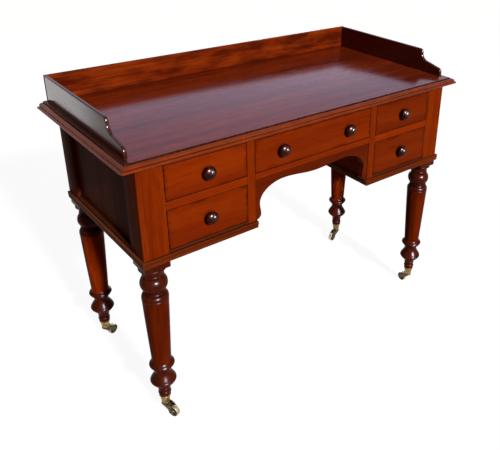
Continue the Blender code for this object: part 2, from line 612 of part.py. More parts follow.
def build_drawer(label, middle_x, opening_width, floor, opening_height, knobs):
    pivot = add_pivot("drawer_" + label, (middle_x, FRONT_Y, floor))
    half = opening_width / 2 - DRAWER_CLEARANCE
    front_back = DRAWER_FRONT_THICKNESS
    low, high = (-half, 0, DRAWER_CLEARANCE), (half, front_back, opening_height - DRAWER_CLEARANCE)
    front = box("drawer_front_" + label, low, high, mahogany, pivot)

    side_top = opening_height - DRAWER_CLEARANCE - DRAWER_SIDE_DROP
    side_front = front_back - DRAWER_LAP
    inside = half - DRAWER_SIDE_THICKNESS
    tray = box("drawer_box_" + label, (-half, side_front, GAP), (half, DRAWER_LENGTH, side_top), lining, pivot)
    hollow_back = DRAWER_LENGTH - DRAWER_SIDE_THICKNESS
    low, high = (-inside, -DRAWER_LENGTH, -side_top), (inside, hollow_back, 2 * side_top)
    cut(tray, box("hollow_" + label, low, high, lining, pivot))

    groove_low = DRAWER_BOTTOM_RISE
    groove_high = groove_low + DRAWER_BOTTOM_THICKNESS + 2 * GAP
    reach = inside + DRAWER_GROOVE + GAP
    groove_front = front_back - DRAWER_GROOVE - GAP
    low, high = (-reach, groove_front, groove_low), (reach, 2 * DRAWER_LENGTH, groove_high)
    cut(tray, box("groove_" + label, low, high, lining, pivot))
    low, high = (-inside, hollow_back - DRAWER_LAP, -groove_low), (inside, 2 * DRAWER_LENGTH, groove_high)
    cut(tray, box("slot_" + label, low, high, lining, pivot))

    low, high = (-inside, groove_front, groove_low), (inside, 2 * front_back, groove_high)
    cut(front, box("front_groove_" + label, low, high, mahogany, pivot))
    for name, side in SIDES.items():
        x_low, x_high = span(side, inside - GAP, half + DRAWER_SIDE_THICKNESS)
        low, high = (x_low, side_front - GAP, -side_top), (x_high, 2 * front_back, side_top + GAP)
        cut(front, box("lap_" + name + "_" + label, low, high, mahogany, pivot))

    bottom_low = groove_low + GAP
    panel = inside - GAP
    outline = [(-reach + GAP, front_back + GAP), (-panel, front_back + GAP), (-panel, groove_front + GAP),
               (panel, groove_front + GAP), (panel, front_back + GAP), (reach - GAP, front_back + GAP),
               (reach - GAP, DRAWER_LENGTH), (-reach + GAP, DRAWER_LENGTH)]
    place = (0, 0, bottom_low + DRAWER_BOTTOM_THICKNESS / 2)
    outline_board("drawer_bottom_" + label, outline, DRAWER_BOTTOM_THICKNESS, lining, place, parent=pivot)

    knob_z = opening_height / 2
    for name, x in knobs:
        hole_size = KNOB_SHANK_DIAMETER + 2 * GAP
        cut(front, rod("hole_" + name, hole_size, 4 * front_back, mahogany, pivot, (x, 0, knob_z)))
        place = (x, 0, knob_z)
        turning("knob_" + name, knob_profile(), False, SMALL_FACETS, knob_wood, pivot, place, FACING_FRONT)


# Castors

def cup_inside(height):
    # Radius inside the cup, which opens out towards its rim.
    floor = CUP_BOTTOM + CUP_FLOOR
    share = (height - floor) / (CASTOR_HEIGHT - floor)
    return (CUP_BASE_DIAMETER + (CUP_RIM_DIAMETER - CUP_BASE_DIAMETER) * share) / 2 - CUP_WALL


def peg_bottom():
    return CUP_BOTTOM + CUP_FLOOR + PIN_HEAD_HEIGHT + 3 * GAP


def build_castor(label, side, leg_y):
    heading = math.radians(HEADINGS[label])
    swivel = add_pivot("castor_" + label, (side * LEG_X, leg_y, 0), heading)
    floor = CUP_BOTTOM + CUP_FLOOR
    rim, base = CUP_RIM_DIAMETER / 2, CUP_BASE_DIAMETER / 2
    rim_bottom = CASTOR_HEIGHT - CUP_RIM_HEIGHT
    bore = PIN_DIAMETER / 2 + AXLE_CLEARANCE
    cup = [(cup_inside(CASTOR_HEIGHT), CASTOR_HEIGHT), (rim, CASTOR_HEIGHT), (rim, rim_bottom)]
    cup += [(rim - CUP_WALL / 2, rim_bottom - CUP_WALL / 2), (base, CUP_BOTTOM), (bore, CUP_BOTTOM)]
    cup += [(bore, floor), (cup_inside(floor), floor)]
    turning("castor_cup_" + label, cup, True, SMALL_FACETS, brass, swivel)

    plate_top = CUP_BOTTOM - GAP
    plate_bottom = plate_top - HORN_PLATE_THICKNESS
    pin, head, plate = PIN_DIAMETER / 2, PIN_HEAD_DIAMETER / 2, HORN_PLATE_DIAMETER / 2
    head_bottom = floor + GAP
    head_top = head_bottom + PIN_HEAD_HEIGHT
    horn = [(0, head_top), (head, head_top), (head, head_bottom), (pin, head_bottom), (pin, plate_top)]
    horn += [(plate, plate_top), (plate, plate_bottom), (0, plate_bottom)]
    horn = turning("castor_horn_" + label, horn, False, SMALL_FACETS, brass, swivel)
    eye = CHEEK_EYE_DIAMETER / 2
    cheek_inside = WHEEL_WIDTH / 2 + CHEEK_CLEARANCE
    middle_z = (plate_top + plate_bottom) / 2
    cheek = [(eye, middle_z), (-eye, middle_z), (-eye, plate_bottom)]
    cheek += arc((TRAIL, WHEEL_AXLE_Z), eye, eye, 210, 420)
    cheek_middle = cheek_inside + CHEEK_THICKNESS / 2
    for name, side in SIDES.items():
        place = (0, side * cheek_middle, 0)
        plate_name = "cheek_" + name + "_" + label
        join(horn, outline_board(plate_name, cheek, CHEEK_THICKNESS, brass, place, FACING_FRONT, swivel))
    axle_place = (TRAIL, 0, WHEEL_AXLE_Z)
    join(horn, rod("axle_" + label, AXLE_DIAMETER, 2 * cheek_middle, brass, swivel, axle_place))

    tread, half, ease = WHEEL_DIAMETER / 2, WHEEL_WIDTH / 2, WHEEL_EDGE_ROUND
    bore = AXLE_DIAMETER / 2 + AXLE_CLEARANCE
    wheel = [(bore, half), (tread - ease, half), (tread, half - ease), (tread, ease - half)]
    wheel += [(tread - ease, -half), (bore, -half)]
    on_a_flat = (math.pi / 2, math.pi / SMALL_FACETS, 0)
    turning("castor_wheel_" + label, wheel, True, SMALL_FACETS, brass, swivel, axle_place, on_a_flat)


def main():
    build_top()
    build_gallery()
    build_backs()
    build_centre()
    build_apron()
    side_middle = (DIVIDER_OUTER_X + POST_INNER_X) / 2
    for label, side in SIDES.items():
        build_ends(label, side)
        build_shelves(label, side)
        build_base_moulding(label, side)
        for row, leg_y in LEG_Y.items():
            corner = row + "_" + label
            build_leg("leg_" + corner, side, leg_y)
            build_castor(corner, side, leg_y)
        upper, lower = "upper_" + label, "lower_" + label
        middle = side * side_middle
        build_drawer(upper, middle, SIDE_DRAWER_WIDTH, UPPER_DRAWER_FLOOR, UPPER_DRAWER_HEIGHT, [(upper, 0)])
        build_drawer(lower, middle, SIDE_DRAWER_WIDTH, LOWER_DRAWER_FLOOR, LOWER_DRAWER_HEIGHT, [(lower, 0)])
    knobs = [("centre_" + label, side * CENTRE_KNOB_SPREAD / 2) for label, side in SIDES.items()]
    build_drawer("centre", 0, 2 * DIVIDER_INNER_X, UPPER_DRAWER_FLOOR, UPPER_DRAWER_HEIGHT, knobs)


main()
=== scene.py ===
import json
import math

import bmesh
import bpy
from mathutils import Matrix, Vector

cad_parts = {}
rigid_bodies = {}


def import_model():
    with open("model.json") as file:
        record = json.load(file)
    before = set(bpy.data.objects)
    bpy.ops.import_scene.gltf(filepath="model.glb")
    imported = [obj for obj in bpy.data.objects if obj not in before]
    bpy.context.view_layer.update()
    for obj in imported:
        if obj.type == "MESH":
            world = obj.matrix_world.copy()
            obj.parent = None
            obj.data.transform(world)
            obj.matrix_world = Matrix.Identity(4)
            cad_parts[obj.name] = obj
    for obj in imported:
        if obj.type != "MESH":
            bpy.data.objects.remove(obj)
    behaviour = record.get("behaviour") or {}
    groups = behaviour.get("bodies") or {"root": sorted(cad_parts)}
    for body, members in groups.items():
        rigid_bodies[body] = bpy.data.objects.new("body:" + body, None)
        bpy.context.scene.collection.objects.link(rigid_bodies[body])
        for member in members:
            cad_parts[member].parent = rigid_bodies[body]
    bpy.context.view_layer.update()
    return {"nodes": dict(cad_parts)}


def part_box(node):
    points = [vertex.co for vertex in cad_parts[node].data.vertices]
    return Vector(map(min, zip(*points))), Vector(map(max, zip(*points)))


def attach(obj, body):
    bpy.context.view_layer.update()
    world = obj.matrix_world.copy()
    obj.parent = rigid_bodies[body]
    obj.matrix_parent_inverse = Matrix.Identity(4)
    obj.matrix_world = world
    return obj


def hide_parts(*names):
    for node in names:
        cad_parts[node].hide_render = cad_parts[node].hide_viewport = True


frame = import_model()
nodes = frame["nodes"]
scene = bpy.context.scene
mm = 0.001
corners = ("front_left", "front_right", "back_left", "back_right")
sides = {"left": -1, "right": 1}
print("frame loaded,", len(nodes), "nodes")


def hexColour(code):
    channels = [int(code[place:place + 2], 16) / 255 for place in (1, 3, 5)]
    linear = [c / 12.92 if c <= 0.04045 else ((c + 0.055) / 1.055) ** 2.4 for c in channels]
    return (*linear, 1.0)


def addNode(tree, kind, settings=None):
    # a setting is a property of the node, a value for one of its sockets, or another node's socket to link
    node = tree.nodes.new(kind)
    for key, value in (settings or {}).items():
        if isinstance(value, bpy.types.NodeSocket):
            tree.links.new(value, node.inputs[key])
        elif isinstance(key, str) and hasattr(node, key):
            setattr(node, key, value)
        else:
            node.inputs[key].default_value = value
    return node


def newMaterial(name):
    material = bpy.data.materials.new(name)
    material.use_nodes = True
    return material, material.node_tree, material.node_tree.nodes["Principled BSDF"]


logSpread = (3.1, 5.3, 2.7)   # metres of timber over which the pieces' patterns start


def pieceCoordinates(tree):
    # every piece is cut from its own stretch of board, so the pattern starts elsewhere on each
    place = addNode(tree, "ShaderNodeTexCoord").outputs["Object"]
    draw = addNode(tree, "ShaderNodeObjectInfo").outputs["Random"]
    start = addNode(tree, "ShaderNodeVectorMath", {"operation": "SCALE", 0: logSpread, "Scale": draw})
    moved = addNode(tree, "ShaderNodeVectorMath", {"operation": "ADD", 0: place, 1: start.outputs[0]})
    return moved.outputs[0]


def pattern(tree, place, sizes, detail, low, high):
    # a noise whose marks have these sizes in millimetres along x, y and z, spread from 0 to 1
    scale = [1000 / size for size in sizes]
    spread = addNode(tree, "ShaderNodeMapping", {"Scale": scale, "Vector": place}).outputs[0]
    noise = addNode(tree, "ShaderNodeTexNoise", {"Scale": 1.0, "Detail": detail, "Vector": spread})
    marks = addNode(tree, "ShaderNodeMapRange",
                    {"From Min": low, "From Max": high, "Value": noise.outputs["Fac"]})
    return marks.outputs[0]


def glaze(tree, under, over, *shares):
    # lays a hex colour over what is under it, as thickly as the product of the shares
    share, *others = shares
    for other in others:
        share = addNode(tree, "ShaderNodeMath", {"operation": "MULTIPLY", 0: share, 1: other}).outputs[0]
    ground = hexColour(under) if isinstance(under, str) else under
    coat = addNode(tree, "ShaderNodeMix", {"data_type": "RGBA", 0: share, 6: ground, 7: hexColour(over)})
    return coat.outputs[2]


def dressShader(tree, shader, colour, roughness, haze, bump, relief, height):
    # roughness goes from smooth to rough with the haze, and the relief is in millimetres
    smooth, rough = roughness
    gloss = addNode(tree, "ShaderNodeMapRange", {"To Min": smooth, "To Max": rough, "Value": haze})
    skin = addNode(tree, "ShaderNodeBump", {"Strength": bump, "Distance": relief * mm, "Height": height})
    tree.links.new(colour, shader.inputs["Base Color"])
    tree.links.new(gloss.outputs[0], shader.inputs["Roughness"])
    tree.links.new(skin.outputs[0], shader.inputs["Normal"])


maskSamples = {"arris": 6, "corner": 8}
cornerLevels = (0.75, 0.2)   # the share of open space around that becomes 0, and 1


def edgeMask(tree, radius, gain):
    # 1 along worn arrises, 0 on the flats
    rounded = addNode(tree, "ShaderNodeBevel", {"samples": maskSamples["arris"], "Radius": radius * mm})
    facing = addNode(tree, "ShaderNodeNewGeometry").outputs["Normal"]
    turn = addNode(tree, "ShaderNodeVectorMath",
                   {"operation": "DOT_PRODUCT", 0: rounded.outputs[0], 1: facing}).outputs["Value"]
    mask = addNode(tree, "ShaderNodeMapRange", {"From Min": 1.0, "From Max": 1.0 - gain, "Value": turn})
    return mask.outputs[0]


def cornerShadeAndDirtMask(tree, reach):
    # 1 deep in corners and gaps, 0 in the open: an occlusion mask that paints shade on the polished wood,
    # and dust and brown tarnish on the pine and the brass
    shade = addNode(tree, "ShaderNodeAmbientOcclusion",
                    {"samples": maskSamples["corner"], "Distance": reach * mm}).outputs["AO"]
    clear, deep = cornerLevels
    mask = addNode(tree, "ShaderNodeMapRange", {"From Min": clear, "From Max": deep, "Value": shade})
    return mask.outputs[0]


def borderMask(tree, low, high, width):
    # 1 at the rim of a drawer front, fading to 0 this many millimetres in
    place = addNode(tree, "ShaderNodeTexCoord").outputs["Object"]
    away = addNode(tree, "ShaderNodeVectorMath", {"operation": "SUBTRACT", 0: place, 1: (low + high) / 2})
    span = addNode(tree, "ShaderNodeVectorMath", {"operation": "ABSOLUTE", 0: away.outputs[0]})
    parts = addNode(tree, "ShaderNodeSeparateXYZ", {0: span.outputs[0]})
    half = (high - low) / 2
    rims = []
    for axis, edge in (("X", half.x), ("Z", half.z)):
        rim = addNode(tree, "ShaderNodeMapRange", {"From Min": edge - width * mm, "From Max": edge,
                                                   "Value": parts.outputs[axis]})
        rims.append(rim.outputs[0])
    return addNode(tree, "ShaderNodeMath", {"operation": "MAXIMUM", 0: rims[0], 1: rims[1]}).outputs[0]


# Mahogany under old shellac polish: red-brown ribbon bands with fine streaks and short dark pores,
# a clear gloss on top, lighter where handling has rubbed the arrises, and darker in corners, gaps and at the
# drawers' rims: painted shade, with some old wax.
# Streaks and pores are drawn about three times as coarse as real ones so that they show.
# Sizes are the width and the length of each mark in millimetres.
woodSizes = {"band": (46, 620), "streak": (6, 240), "pore": (2.4, 42), "mottle": (16, 46)}
cloudySizes = dict(woodSizes, mottle=(26, 95))
# Detail of each mark's noise, and the levels of it that become 0 and 1
woodLevels = {"band": (3, 0.36, 0.64), "streak": (4, 0.36, 0.66), "pore": (2, 0.60, 0.72),
              "mottle": (3, 0.38, 0.66)}
woodMix = {"pore": 0.35, "rim": 0.9, "rimShadeAndWax": 0.6, "arris": 1.4, "arrisGain": 0.3, "gap": 3, "gapShadeAndWax": 0.9,
           "poreDepth": -0.6, "relief": 0.4, "polishIor": 1.52}


def polishedMahogany(name, look, grain, board=None):
    material, tree, shader = newMaterial(name)
    place = pieceCoordinates(tree)
    marks = {}
    for kind, levels in woodLevels.items():
        width, length = look["sizes"][kind]
        marks[kind] = pattern(tree, place, [length if axis == grain else width for axis in "xyz"], *levels)
    streak, pore, mottle, wax = marks["streak"], marks["pore"], marks["mottle"], look["wax"]
    colour = glaze(tree, look["deep"], look["body"], marks["band"])
    colour = glaze(tree, colour, look["light"], streak, look["streaks"])
    colour = glaze(tree, colour, look["shade"], mottle, look["figure"])
    colour = glaze(tree, colour, look["pore"], pore, woodMix["pore"])
    # a drawer front darkens towards its rim: painted shade, with some grime
    if board:
        rim = (borderMask(tree, *board, look["rim"]), mottle, woodMix["rim"])
        colour = glaze(tree, colour, look["deep"], *rim)
        colour = glaze(tree, colour, wax, *rim, woodMix["rimShadeAndWax"])
    rubbed = edgeMask(tree, woodMix["arris"], woodMix["arrisGain"])
    colour = glaze(tree, colour, look["worn"], rubbed, streak, look["wear"])
    # painted shade, with some old wax, darkens corners and hollows, and a thin painted shade lines the gaps
    colour = glaze(tree, colour, wax, cornerShadeAndDirtMask(tree, look["reach"]), look["shadeAndGrime"])
    colour = glaze(tree, colour, wax, cornerShadeAndDirtMask(tree, woodMix["gap"]), woodMix["gapShadeAndWax"])
    haze = addNode(tree, "ShaderNodeMath", {"operation": "MULTIPLY", 0: mottle, 1: streak}).outputs[0]
    height = addNode(tree, "ShaderNodeMath", {"operation": "MULTIPLY_ADD", 0: pore, 1: woodMix["poreDepth"],
                                              2: streak}).outputs[0]
    dressShader(tree, shader, colour, look["roughness"], haze, look["bump"], woodMix["relief"], height)
    shader.inputs["IOR"].default_value = woodMix["polishIor"]
    shader.inputs["Specular IOR Level"].default_value = look["gloss"]
    shader.inputs["Specular Tint"].default_value = hexColour(look["polish"])
    return material


# Drawer fronts and rails: even orange-red with faint streaks, a dark rim of painted shade and grime, and
# hardly any mirror
frontLook = {"deep": "#7a2505", "body": "#8b2f05", "light": "#9e400c", "shade": "#701f03",
             "pore": "#3a0d01", "worn": "#b9763f", "wax": "#180501", "polish": "#ff9a55",
             "streaks": 0.15, "figure": 0.25, "rim": 9, "wear": 0.9, "shadeAndGrime": 0.85, "reach": 14,
             "roughness": (0.24, 0.36), "bump": 0.10, "gloss": 0.008, "sizes": woodSizes}
# Apron: the same timber, darkened as painted shade under the rail
apronShadedLook = dict(frontLook, deep="#5f1b05", body="#712707", light="#7f330c", shade="#4c1605")
# Ends of the table: brown and dull, with no red glow; the brown is partly a painted haze of reflection on
# the shaded ends
endLook = dict(frontLook, deep="#5c2210", body="#713317", light="#82411e", shade="#4c1c0d", gloss=0.0013)
# Fronts of the posts: stronger streaks, and arrises rubbed pale
postLook = dict(frontLook, deep="#701f02", body="#8f3106", light="#a9460f", shade="#5c1903", gloss=0.0,
                wear=2.0, streaks=0.35)
# Base mouldings: darker, with pale rubbed edges, and browner along the ends, partly a painted haze of
# reflection as on the end panels
baseLook = dict(frontLook, deep="#5e1f08", body="#74290b", light="#8c4518", shade="#4a1806", gloss=0.012,
                wear=1.6)
baseEndLook = dict(baseLook, deep="#6e3523", body="#8a4e35", light="#a46a4c", shade="#58291a", gloss=0.004)
# Pedestal bottoms: dull brown, a painted shade that dims the lit ledge under the lower drawers
bottomLook = dict(frontLook, deep="#4a2113", body="#5c2b17", light="#713c22", shade="#3f1b0e")
# Gallery back: cloudy dark patches in the red
galleryLook = dict(frontLook, deep="#6a1b06", body="#802a09", light="#a64813", shade="#3e0d06", figure=0.8,
                   streaks=0.5, sizes=cloudySizes, wear=1.8, gloss=0.012, polish="#ffb080",
                   roughness=(0.2, 0.34))
# Gallery ends: a smooth polish that mirrors a pale sheen, and nearly black sawn edges
galleryEndLook = dict(galleryLook, deep="#541505", body="#672007", light="#80320e", figure=0.3,
                      streaks=0.25, gloss=0.075, polish="#fff2ec", bump=0.03, roughness=(0.12, 0.2),
                      sizes=woodSizes)
endGrainLook = dict(galleryLook, deep="#2c0c05", body="#3d1207", light="#52200f", shade="#240903",
                    gloss=0.16, polish="#ffe9dc", wear=2.2)
# Writing surface: a deep polish that mirrors a bluish haze, with softer, redder mouldings round it
topLook = dict(frontLook, deep="#571506", body="#802a0b", light="#983e14", shade="#511506", gloss=0.2,
               polish="#dfe4ff", roughness=(0.14, 0.26), wear=1.6, streaks=0.35, figure=0.4)
edgeLook = dict(topLook, deep="#6d220b", body="#8b3413", light="#a84c20", gloss=0.09,
                roughness=(0.24, 0.34), wear=2.4, polish="#ffd9c8")
endEdgeLook = dict(edgeLook, gloss=0.14, polish="#ffe6cc")
# The step and the gutter: a dark brown line
gutterLook = dict(edgeLook, deep="#2a0f08", body="#3a160b", light="#4d2213", shade="#220b06", gloss=0.05)
# Leg shafts: dark red with clear streaks
legLook = dict(frontLook, deep="#501403", body="#671e04", light="#803008", shade="#441103", gloss=0.0035,
               roughness=(0.22, 0.3), shadeAndGrime=0.95, streaks=0.5, polish="#ffe0d0")
# Turnings: darker still, a painted shade for their shadows and dark reflections, with small bright
# highlights and black hollows of painted shade
turningLook = dict(legLook, deep="#411205", body="#531a07", light="#702d0f", shade="#350f04", gloss=0.022,
                   roughness=(0.26, 0.32), polish="#f4ecff", streaks=0.2, figure=0.15, bump=0.03, reach=30,
                   wear=0.2)
# Knobs: stained nearly black and handled to a shine
knobLook = dict(turningLook, deep="#260804", body="#390f07", light="#4c190c", shade="#1c0603",
                pore="#0e0302", worn="#6a3320", gloss=0.045, roughness=(0.27, 0.31), wear=0.6,
                polish="#ffe4dc", reach=14)
# How light each board is beside its look
# the right-hand drawers are darker: partly their own tone, partly painted shade for light that falls off
# across the front
drawerTonesAndPaintedShade = {"upper_left": 1.05, "lower_left": 1.0, "centre": 1.0, "upper_right": 0.92,
               "lower_right": 0.93}
railTone = 1.05
# the right post is darker in the same way: partly its own tone, partly painted shade
postTonesAndPaintedShade = {"left": 1.0, "right": 0.95}
# the back legs are toned lighter: painted light, as if the sun reached them under the table
legTonesAndPaintedLight = {"front_left": 1.0, "front_right": 1.05, "back_left": 1.42, "back_right": 1.32}


def toned(look, tone):
    # the same finish, lighter or darker: some of these copies are painted light and shade
    def shift(code):
        channels = [round(int(code[place:place + 2], 16) * tone) for place in (1, 3, 5)]
        return "#" + "".join("%02x" % min(255, channel) for channel in channels)
    return dict(look, **{part: shift(look[part]) for part in ("deep", "body", "light", "shade")})


fronts = {axis: polishedMahogany("PolishedMahogany." + axis, frontLook, axis) for axis in "xz"}
railWood = polishedMahogany("PolishedMahogany.rail", toned(frontLook, railTone), "x")
baseWood = {"front": polishedMahogany("PolishedMahogany.base", baseLook, "x"),
            "end": polishedMahogany("PolishedMahogany.base_end", baseEndLook, "y")}
bottomWood = polishedMahogany("PolishedMahogany.pedestal_bottom", bottomLook, "x")
drawerWood = {name: polishedMahogany("PolishedMahogany.drawer_" + name, toned(frontLook, tone), "x",
                                     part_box("drawer_front_" + name)) for name, tone in drawerTonesAndPaintedShade.items()}
apronWood = polishedMahogany("PolishedMahogany.apron", apronShadedLook, "x")
panelWood = polishedMahogany("PolishedMahogany.end_panel", endLook, "z")
galleryWood = {"x": polishedMahogany("PolishedMahogany.gallery_back", galleryLook, "x"),
               "y": polishedMahogany("PolishedMahogany.gallery_end", galleryEndLook, "y")}
endGrain = polishedMahogany("StainedEndGrain", endGrainLook, "y")
postWood = {side: polishedMahogany("PolishedMahogany.post_" + side, toned(postLook, tone), "z")
            for side, tone in postTonesAndPaintedShade.items()}
topWood = polishedMahogany("FrenchPolishedMahogany", topLook, "x")
edgeWood = polishedMahogany("FrenchPolishedMahogany.edge", edgeLook, "x")
endEdgeWood = polishedMahogany("FrenchPolishedMahogany.end_edge", endEdgeLook, "y")
gutterWood = polishedMahogany("WaxedMahogany.gutter", gutterLook, "y")
legWood = {corner: polishedMahogany("TurnedMahogany." + corner, toned(legLook, tone), "z")
           for corner, tone in legTonesAndPaintedLight.items()}
turningWood = polishedMahogany("TurnedMahogany.dark", turningLook, "z")
knobWood = polishedMahogany("DarkTurnedMahogany", knobLook, "y")


# Planed pine, unpolished: pale straw bands with darker late-wood lines, dull, with dust in the corners.
# Width and length of each mark, detail of its noise, and the levels that become 0 and 1.
pineMarks = {"ring": (16, 900, 2, 0.4, 0.62), "fibre": (3, 120, 3, 0.35, 0.65),
             "stain": (90, 160, 3, 0.42, 0.7)}
pineMix = {"fibre": 0.35, "stain": 0.4, "dust": 0.6, "dustReach": 30, "roughness": (0.55, 0.75),
           "bump": 0.2, "relief": 0.3, "gloss": 0.25}


def planedPine(name, grain, colours):
    material, tree, shader = newMaterial(name)
    place = pieceCoordinates(tree)
    marks = {}
    for kind, (width, length, *levels) in pineMarks.items():
        marks[kind] = pattern(tree, place, [length if axis == grain else width for axis in "xyz"], *levels)
    colour = glaze(tree, colours["pale"], colours["late"], marks["ring"])
    for kind in ("fibre", "stain"):
        colour = glaze(tree, colour, colours[kind], marks[kind], pineMix[kind])
    colour = glaze(tree, colour, colours["dust"], cornerShadeAndDirtMask(tree, pineMix["dustReach"]), pineMix["dust"])
    dressShader(tree, shader, colour, pineMix["roughness"], marks["fibre"], pineMix["bump"],
                pineMix["relief"], marks["fibre"])
    shader.inputs["Specular IOR Level"].default_value = pineMix["gloss"]
    return material


# Drawer linings are pale straw. The back has been stained dark brown.
pineColours = {"pale": "#b98a52", "late": "#99683a", "fibre": "#c79d66", "stain": "#7d5430",
               "dust": "#4a2f1a"}
backColours = {"pale": "#6d3d1f", "late": "#522a14", "fibre": "#7a4a29", "stain": "#3f2110",
               "dust": "#24120a"}
pine = {axis: planedPine("PlanedPine." + axis, axis, pineColours) for axis in "xy"}
backWood = {axis: planedPine("StainedPine." + axis, axis, backColours) for axis in "xz"}


# Cast and lacquered brass: warm yellow metal in dull patches, bright where it is rubbed, brown in the gaps.
# Size of each mark, detail of its noise, and the levels that become 0 and 1. The casting grit is drawn
# twice as coarse as real grit so that it shows.
brassMarks = {"patch": ((9, 9, 7), 4, 0.4, 0.66), "grit": ((1.6, 1.6, 1.6), 3, 0.35, 0.65)}
brassMix = {"grit": 0.25, "arris": 0.7, "arrisGain": 0.3, "rubbed": 0.7, "gap": 5, "gapBrown": 0.85,
            "bump": 0.15, "relief": 0.1}


def agedBrass(name, look):
    material, tree, shader = newMaterial(name)
    place = pieceCoordinates(tree)
    patch, grit = (pattern(tree, place, *brassMarks[kind]) for kind in ("patch", "grit"))
    colour = glaze(tree, look["bright"], look["dull"], patch)
    colour = glaze(tree, colour, look["dull"], grit, brassMix["grit"])
    rubbed = edgeMask(tree, brassMix["arris"], brassMix["arrisGain"])
    colour = glaze(tree, colour, look["bright"], rubbed, brassMix["rubbed"])
    colour = glaze(tree, colour, look["brown"], cornerShadeAndDirtMask(tree, brassMix["gap"]), brassMix["gapBrown"])
    dressShader(tree, shader, colour, look["roughness"], patch, brassMix["bump"], brassMix["relief"], grit)
    shader.inputs["Metallic"].default_value = 1.0
    return material


# Cups are yellow, horns tarnished to olive, wheels nearly black with pale worn treads
castBrass = agedBrass("CastBrass", {"bright": "#a58a53", "dull": "#5e4a2b", "brown": "#1a1208",
                                    "roughness": (0.3, 0.5)})
hornBrass = agedBrass("TarnishedBrass", {"bright": "#655942", "dull": "#2f281c", "brown": "#0f0b07",
                                         "roughness": (0.32, 0.5)})
wheelBrass = agedBrass("DarkBrass", {"bright": "#433a2b", "dull": "#1d1811", "brown": "#0c0906",
                                     "roughness": (0.34, 0.55)})
treadBrass = agedBrass("WornBrass", {"bright": "#d6c8aa", "dull": "#a08f70", "brown": "#3a2d1c",
                                     "roughness": (0.3, 0.5)})
print("materials made")


# An edge that turns by more than this many degrees stays crisp
crispAngles = {"moulded": 32, "cast": 35, "leg": 38, "sawn": 40, "knob": 40, "rivet": 40, "floor": 30}
weldReach = 1e-6   # metres within which two points of a turning become one


def newMesh(name, form, kind):
    bmesh.ops.recalc_face_normals(form, faces=form.faces)
    mesh = bpy.data.meshes.new(name)
    form.to_mesh(mesh)
    form.free()
    mesh.shade_smooth()
    mesh.set_sharp_from_angle(angle=math.radians(crispAngles[kind]))
    return mesh


def addPiece(name, form, kind, finishes, body, slot, *replaced):
    piece = bpy.data.objects.new(name, newMesh(name, form, kind))
    scene.collection.objects.link(piece)
    for finish in finishes:
        piece.data.materials.append(finish)
    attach(piece, body)
    if replaced:
        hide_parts(*replaced)
    return piece


def easeEdges(piece, width, segments=3, angle=40):
    ease = piece.modifiers.new("EasedEdges", "BEVEL")
    ease.limit_method = "ANGLE"
    ease.angle_limit = math.radians(angle)
    ease.width = width * mm
    ease.segments = segments
    ease.harden_normals = True


def arcPoints(centre, across, up, start, end, count):
    turns = [math.radians(start + (end - start) * step / (count - 1)) for step in range(count)]
    return [(centre[0] + across * math.cos(turn), centre[1] + up * math.sin(turn)) for turn in turns]


def nosing(crest, radius, start, end, count):
    # a rounded edge whose outermost point is the crest
    return arcPoints((crest[0] - radius, crest[1]), radius, radius, start, end, count)


def eased(curve, first, last):
    # a free curve: its first two points are offsets from first, its other two from last
    count, *offsets = curve
    ends = (first, first, last, last)
    bends = [(end[0] + across, end[1] + up) for end, (across, up) in zip(ends, offsets)]
    points = []
    for step in range(count):
        share = step / (count - 1)
        rest = 1 - share
        weights = (rest ** 3, 3 * share * rest ** 2, 3 * share ** 2 * rest, share ** 3)
        points.append(tuple(sum(weight * bend[i] for weight, bend in zip(weights, bends)) for i in (0, 1)))
    return points


def swell(top, bottom, root, crest, count, keel=0.5):
    # a turned bulge: a keel of 0.5 gives half an ellipse, a higher one draws it in towards the crest
    middle, half = (top + bottom) / 2, (top - bottom) / 2
    points = []
    for step in range(count):
        turn = math.pi * step / (count - 1)
        out = max(math.sin(turn), 0) ** (2 * keel)
        points.append((root + (crest - root) * out, middle + half * math.cos(turn)))
    return points


def groove(height, radius, width, depth):
    # an incised ring, as points down a turned profile
    points = []
    for step in range(5):
        share = step / 4
        points.append((radius - depth * math.sin(math.pi * share), height + width * (0.5 - share)))
    return points


def turned(form, profile, steps):
    # profile is (radius, height) in millimetres, spun about z
    points = [form.verts.new((radius * mm, 0, height * mm)) for radius, height in profile]
    edges = [form.edges.new(pair) for pair in zip(points, points[1:])]
    bmesh.ops.spin(form, geom=points + edges, axis=(0, 0, 1), angle=math.tau, steps=steps)
    bmesh.ops.remove_doubles(form, verts=form.verts[:], dist=weldReach)


def sawnBoard(form, outline, start, end):
    # outline in metres as (along, up), given thickness from start to end across it
    face = form.faces.new([form.verts.new((along, start, up)) for along, up in outline])
    made = bmesh.ops.extrude_face_region(form, geom=[face])
    raised = [item for item in made["geom"] if isinstance(item, bmesh.types.BMVert)]
    bmesh.ops.translate(form, verts=raised, vec=(0, end - start, 0))


def scribe(form, place, across):
    # a line of edges where a plane crosses, so that the finish can change there
    whole = form.verts[:] + form.edges[:] + form.faces[:]
    bmesh.ops.bisect_plane(form, geom=whole, plane_co=place, plane_no=across)
    form.normal_update()


leastRound = 0.3 * mm   # keeps the corners of a moulding's inner lines apart


def rimLine(low, high, inset, height, roundness):
    # one line of a moulding, from the back along the left end, the front and the right end
    left, right, front = low.x + inset, high.x - inset, low.y + inset
    radius = max(roundness - inset, leastRound)
    line = [(left, high.y)]
    line += arcPoints((left + radius, front + radius), radius, radius, 180, 270, 7)
    line += arcPoints((right - radius, front + radius), radius, radius, 270, 360, 7)
    line.append((right, high.y))
    return [(x, y, height) for x, y in line]


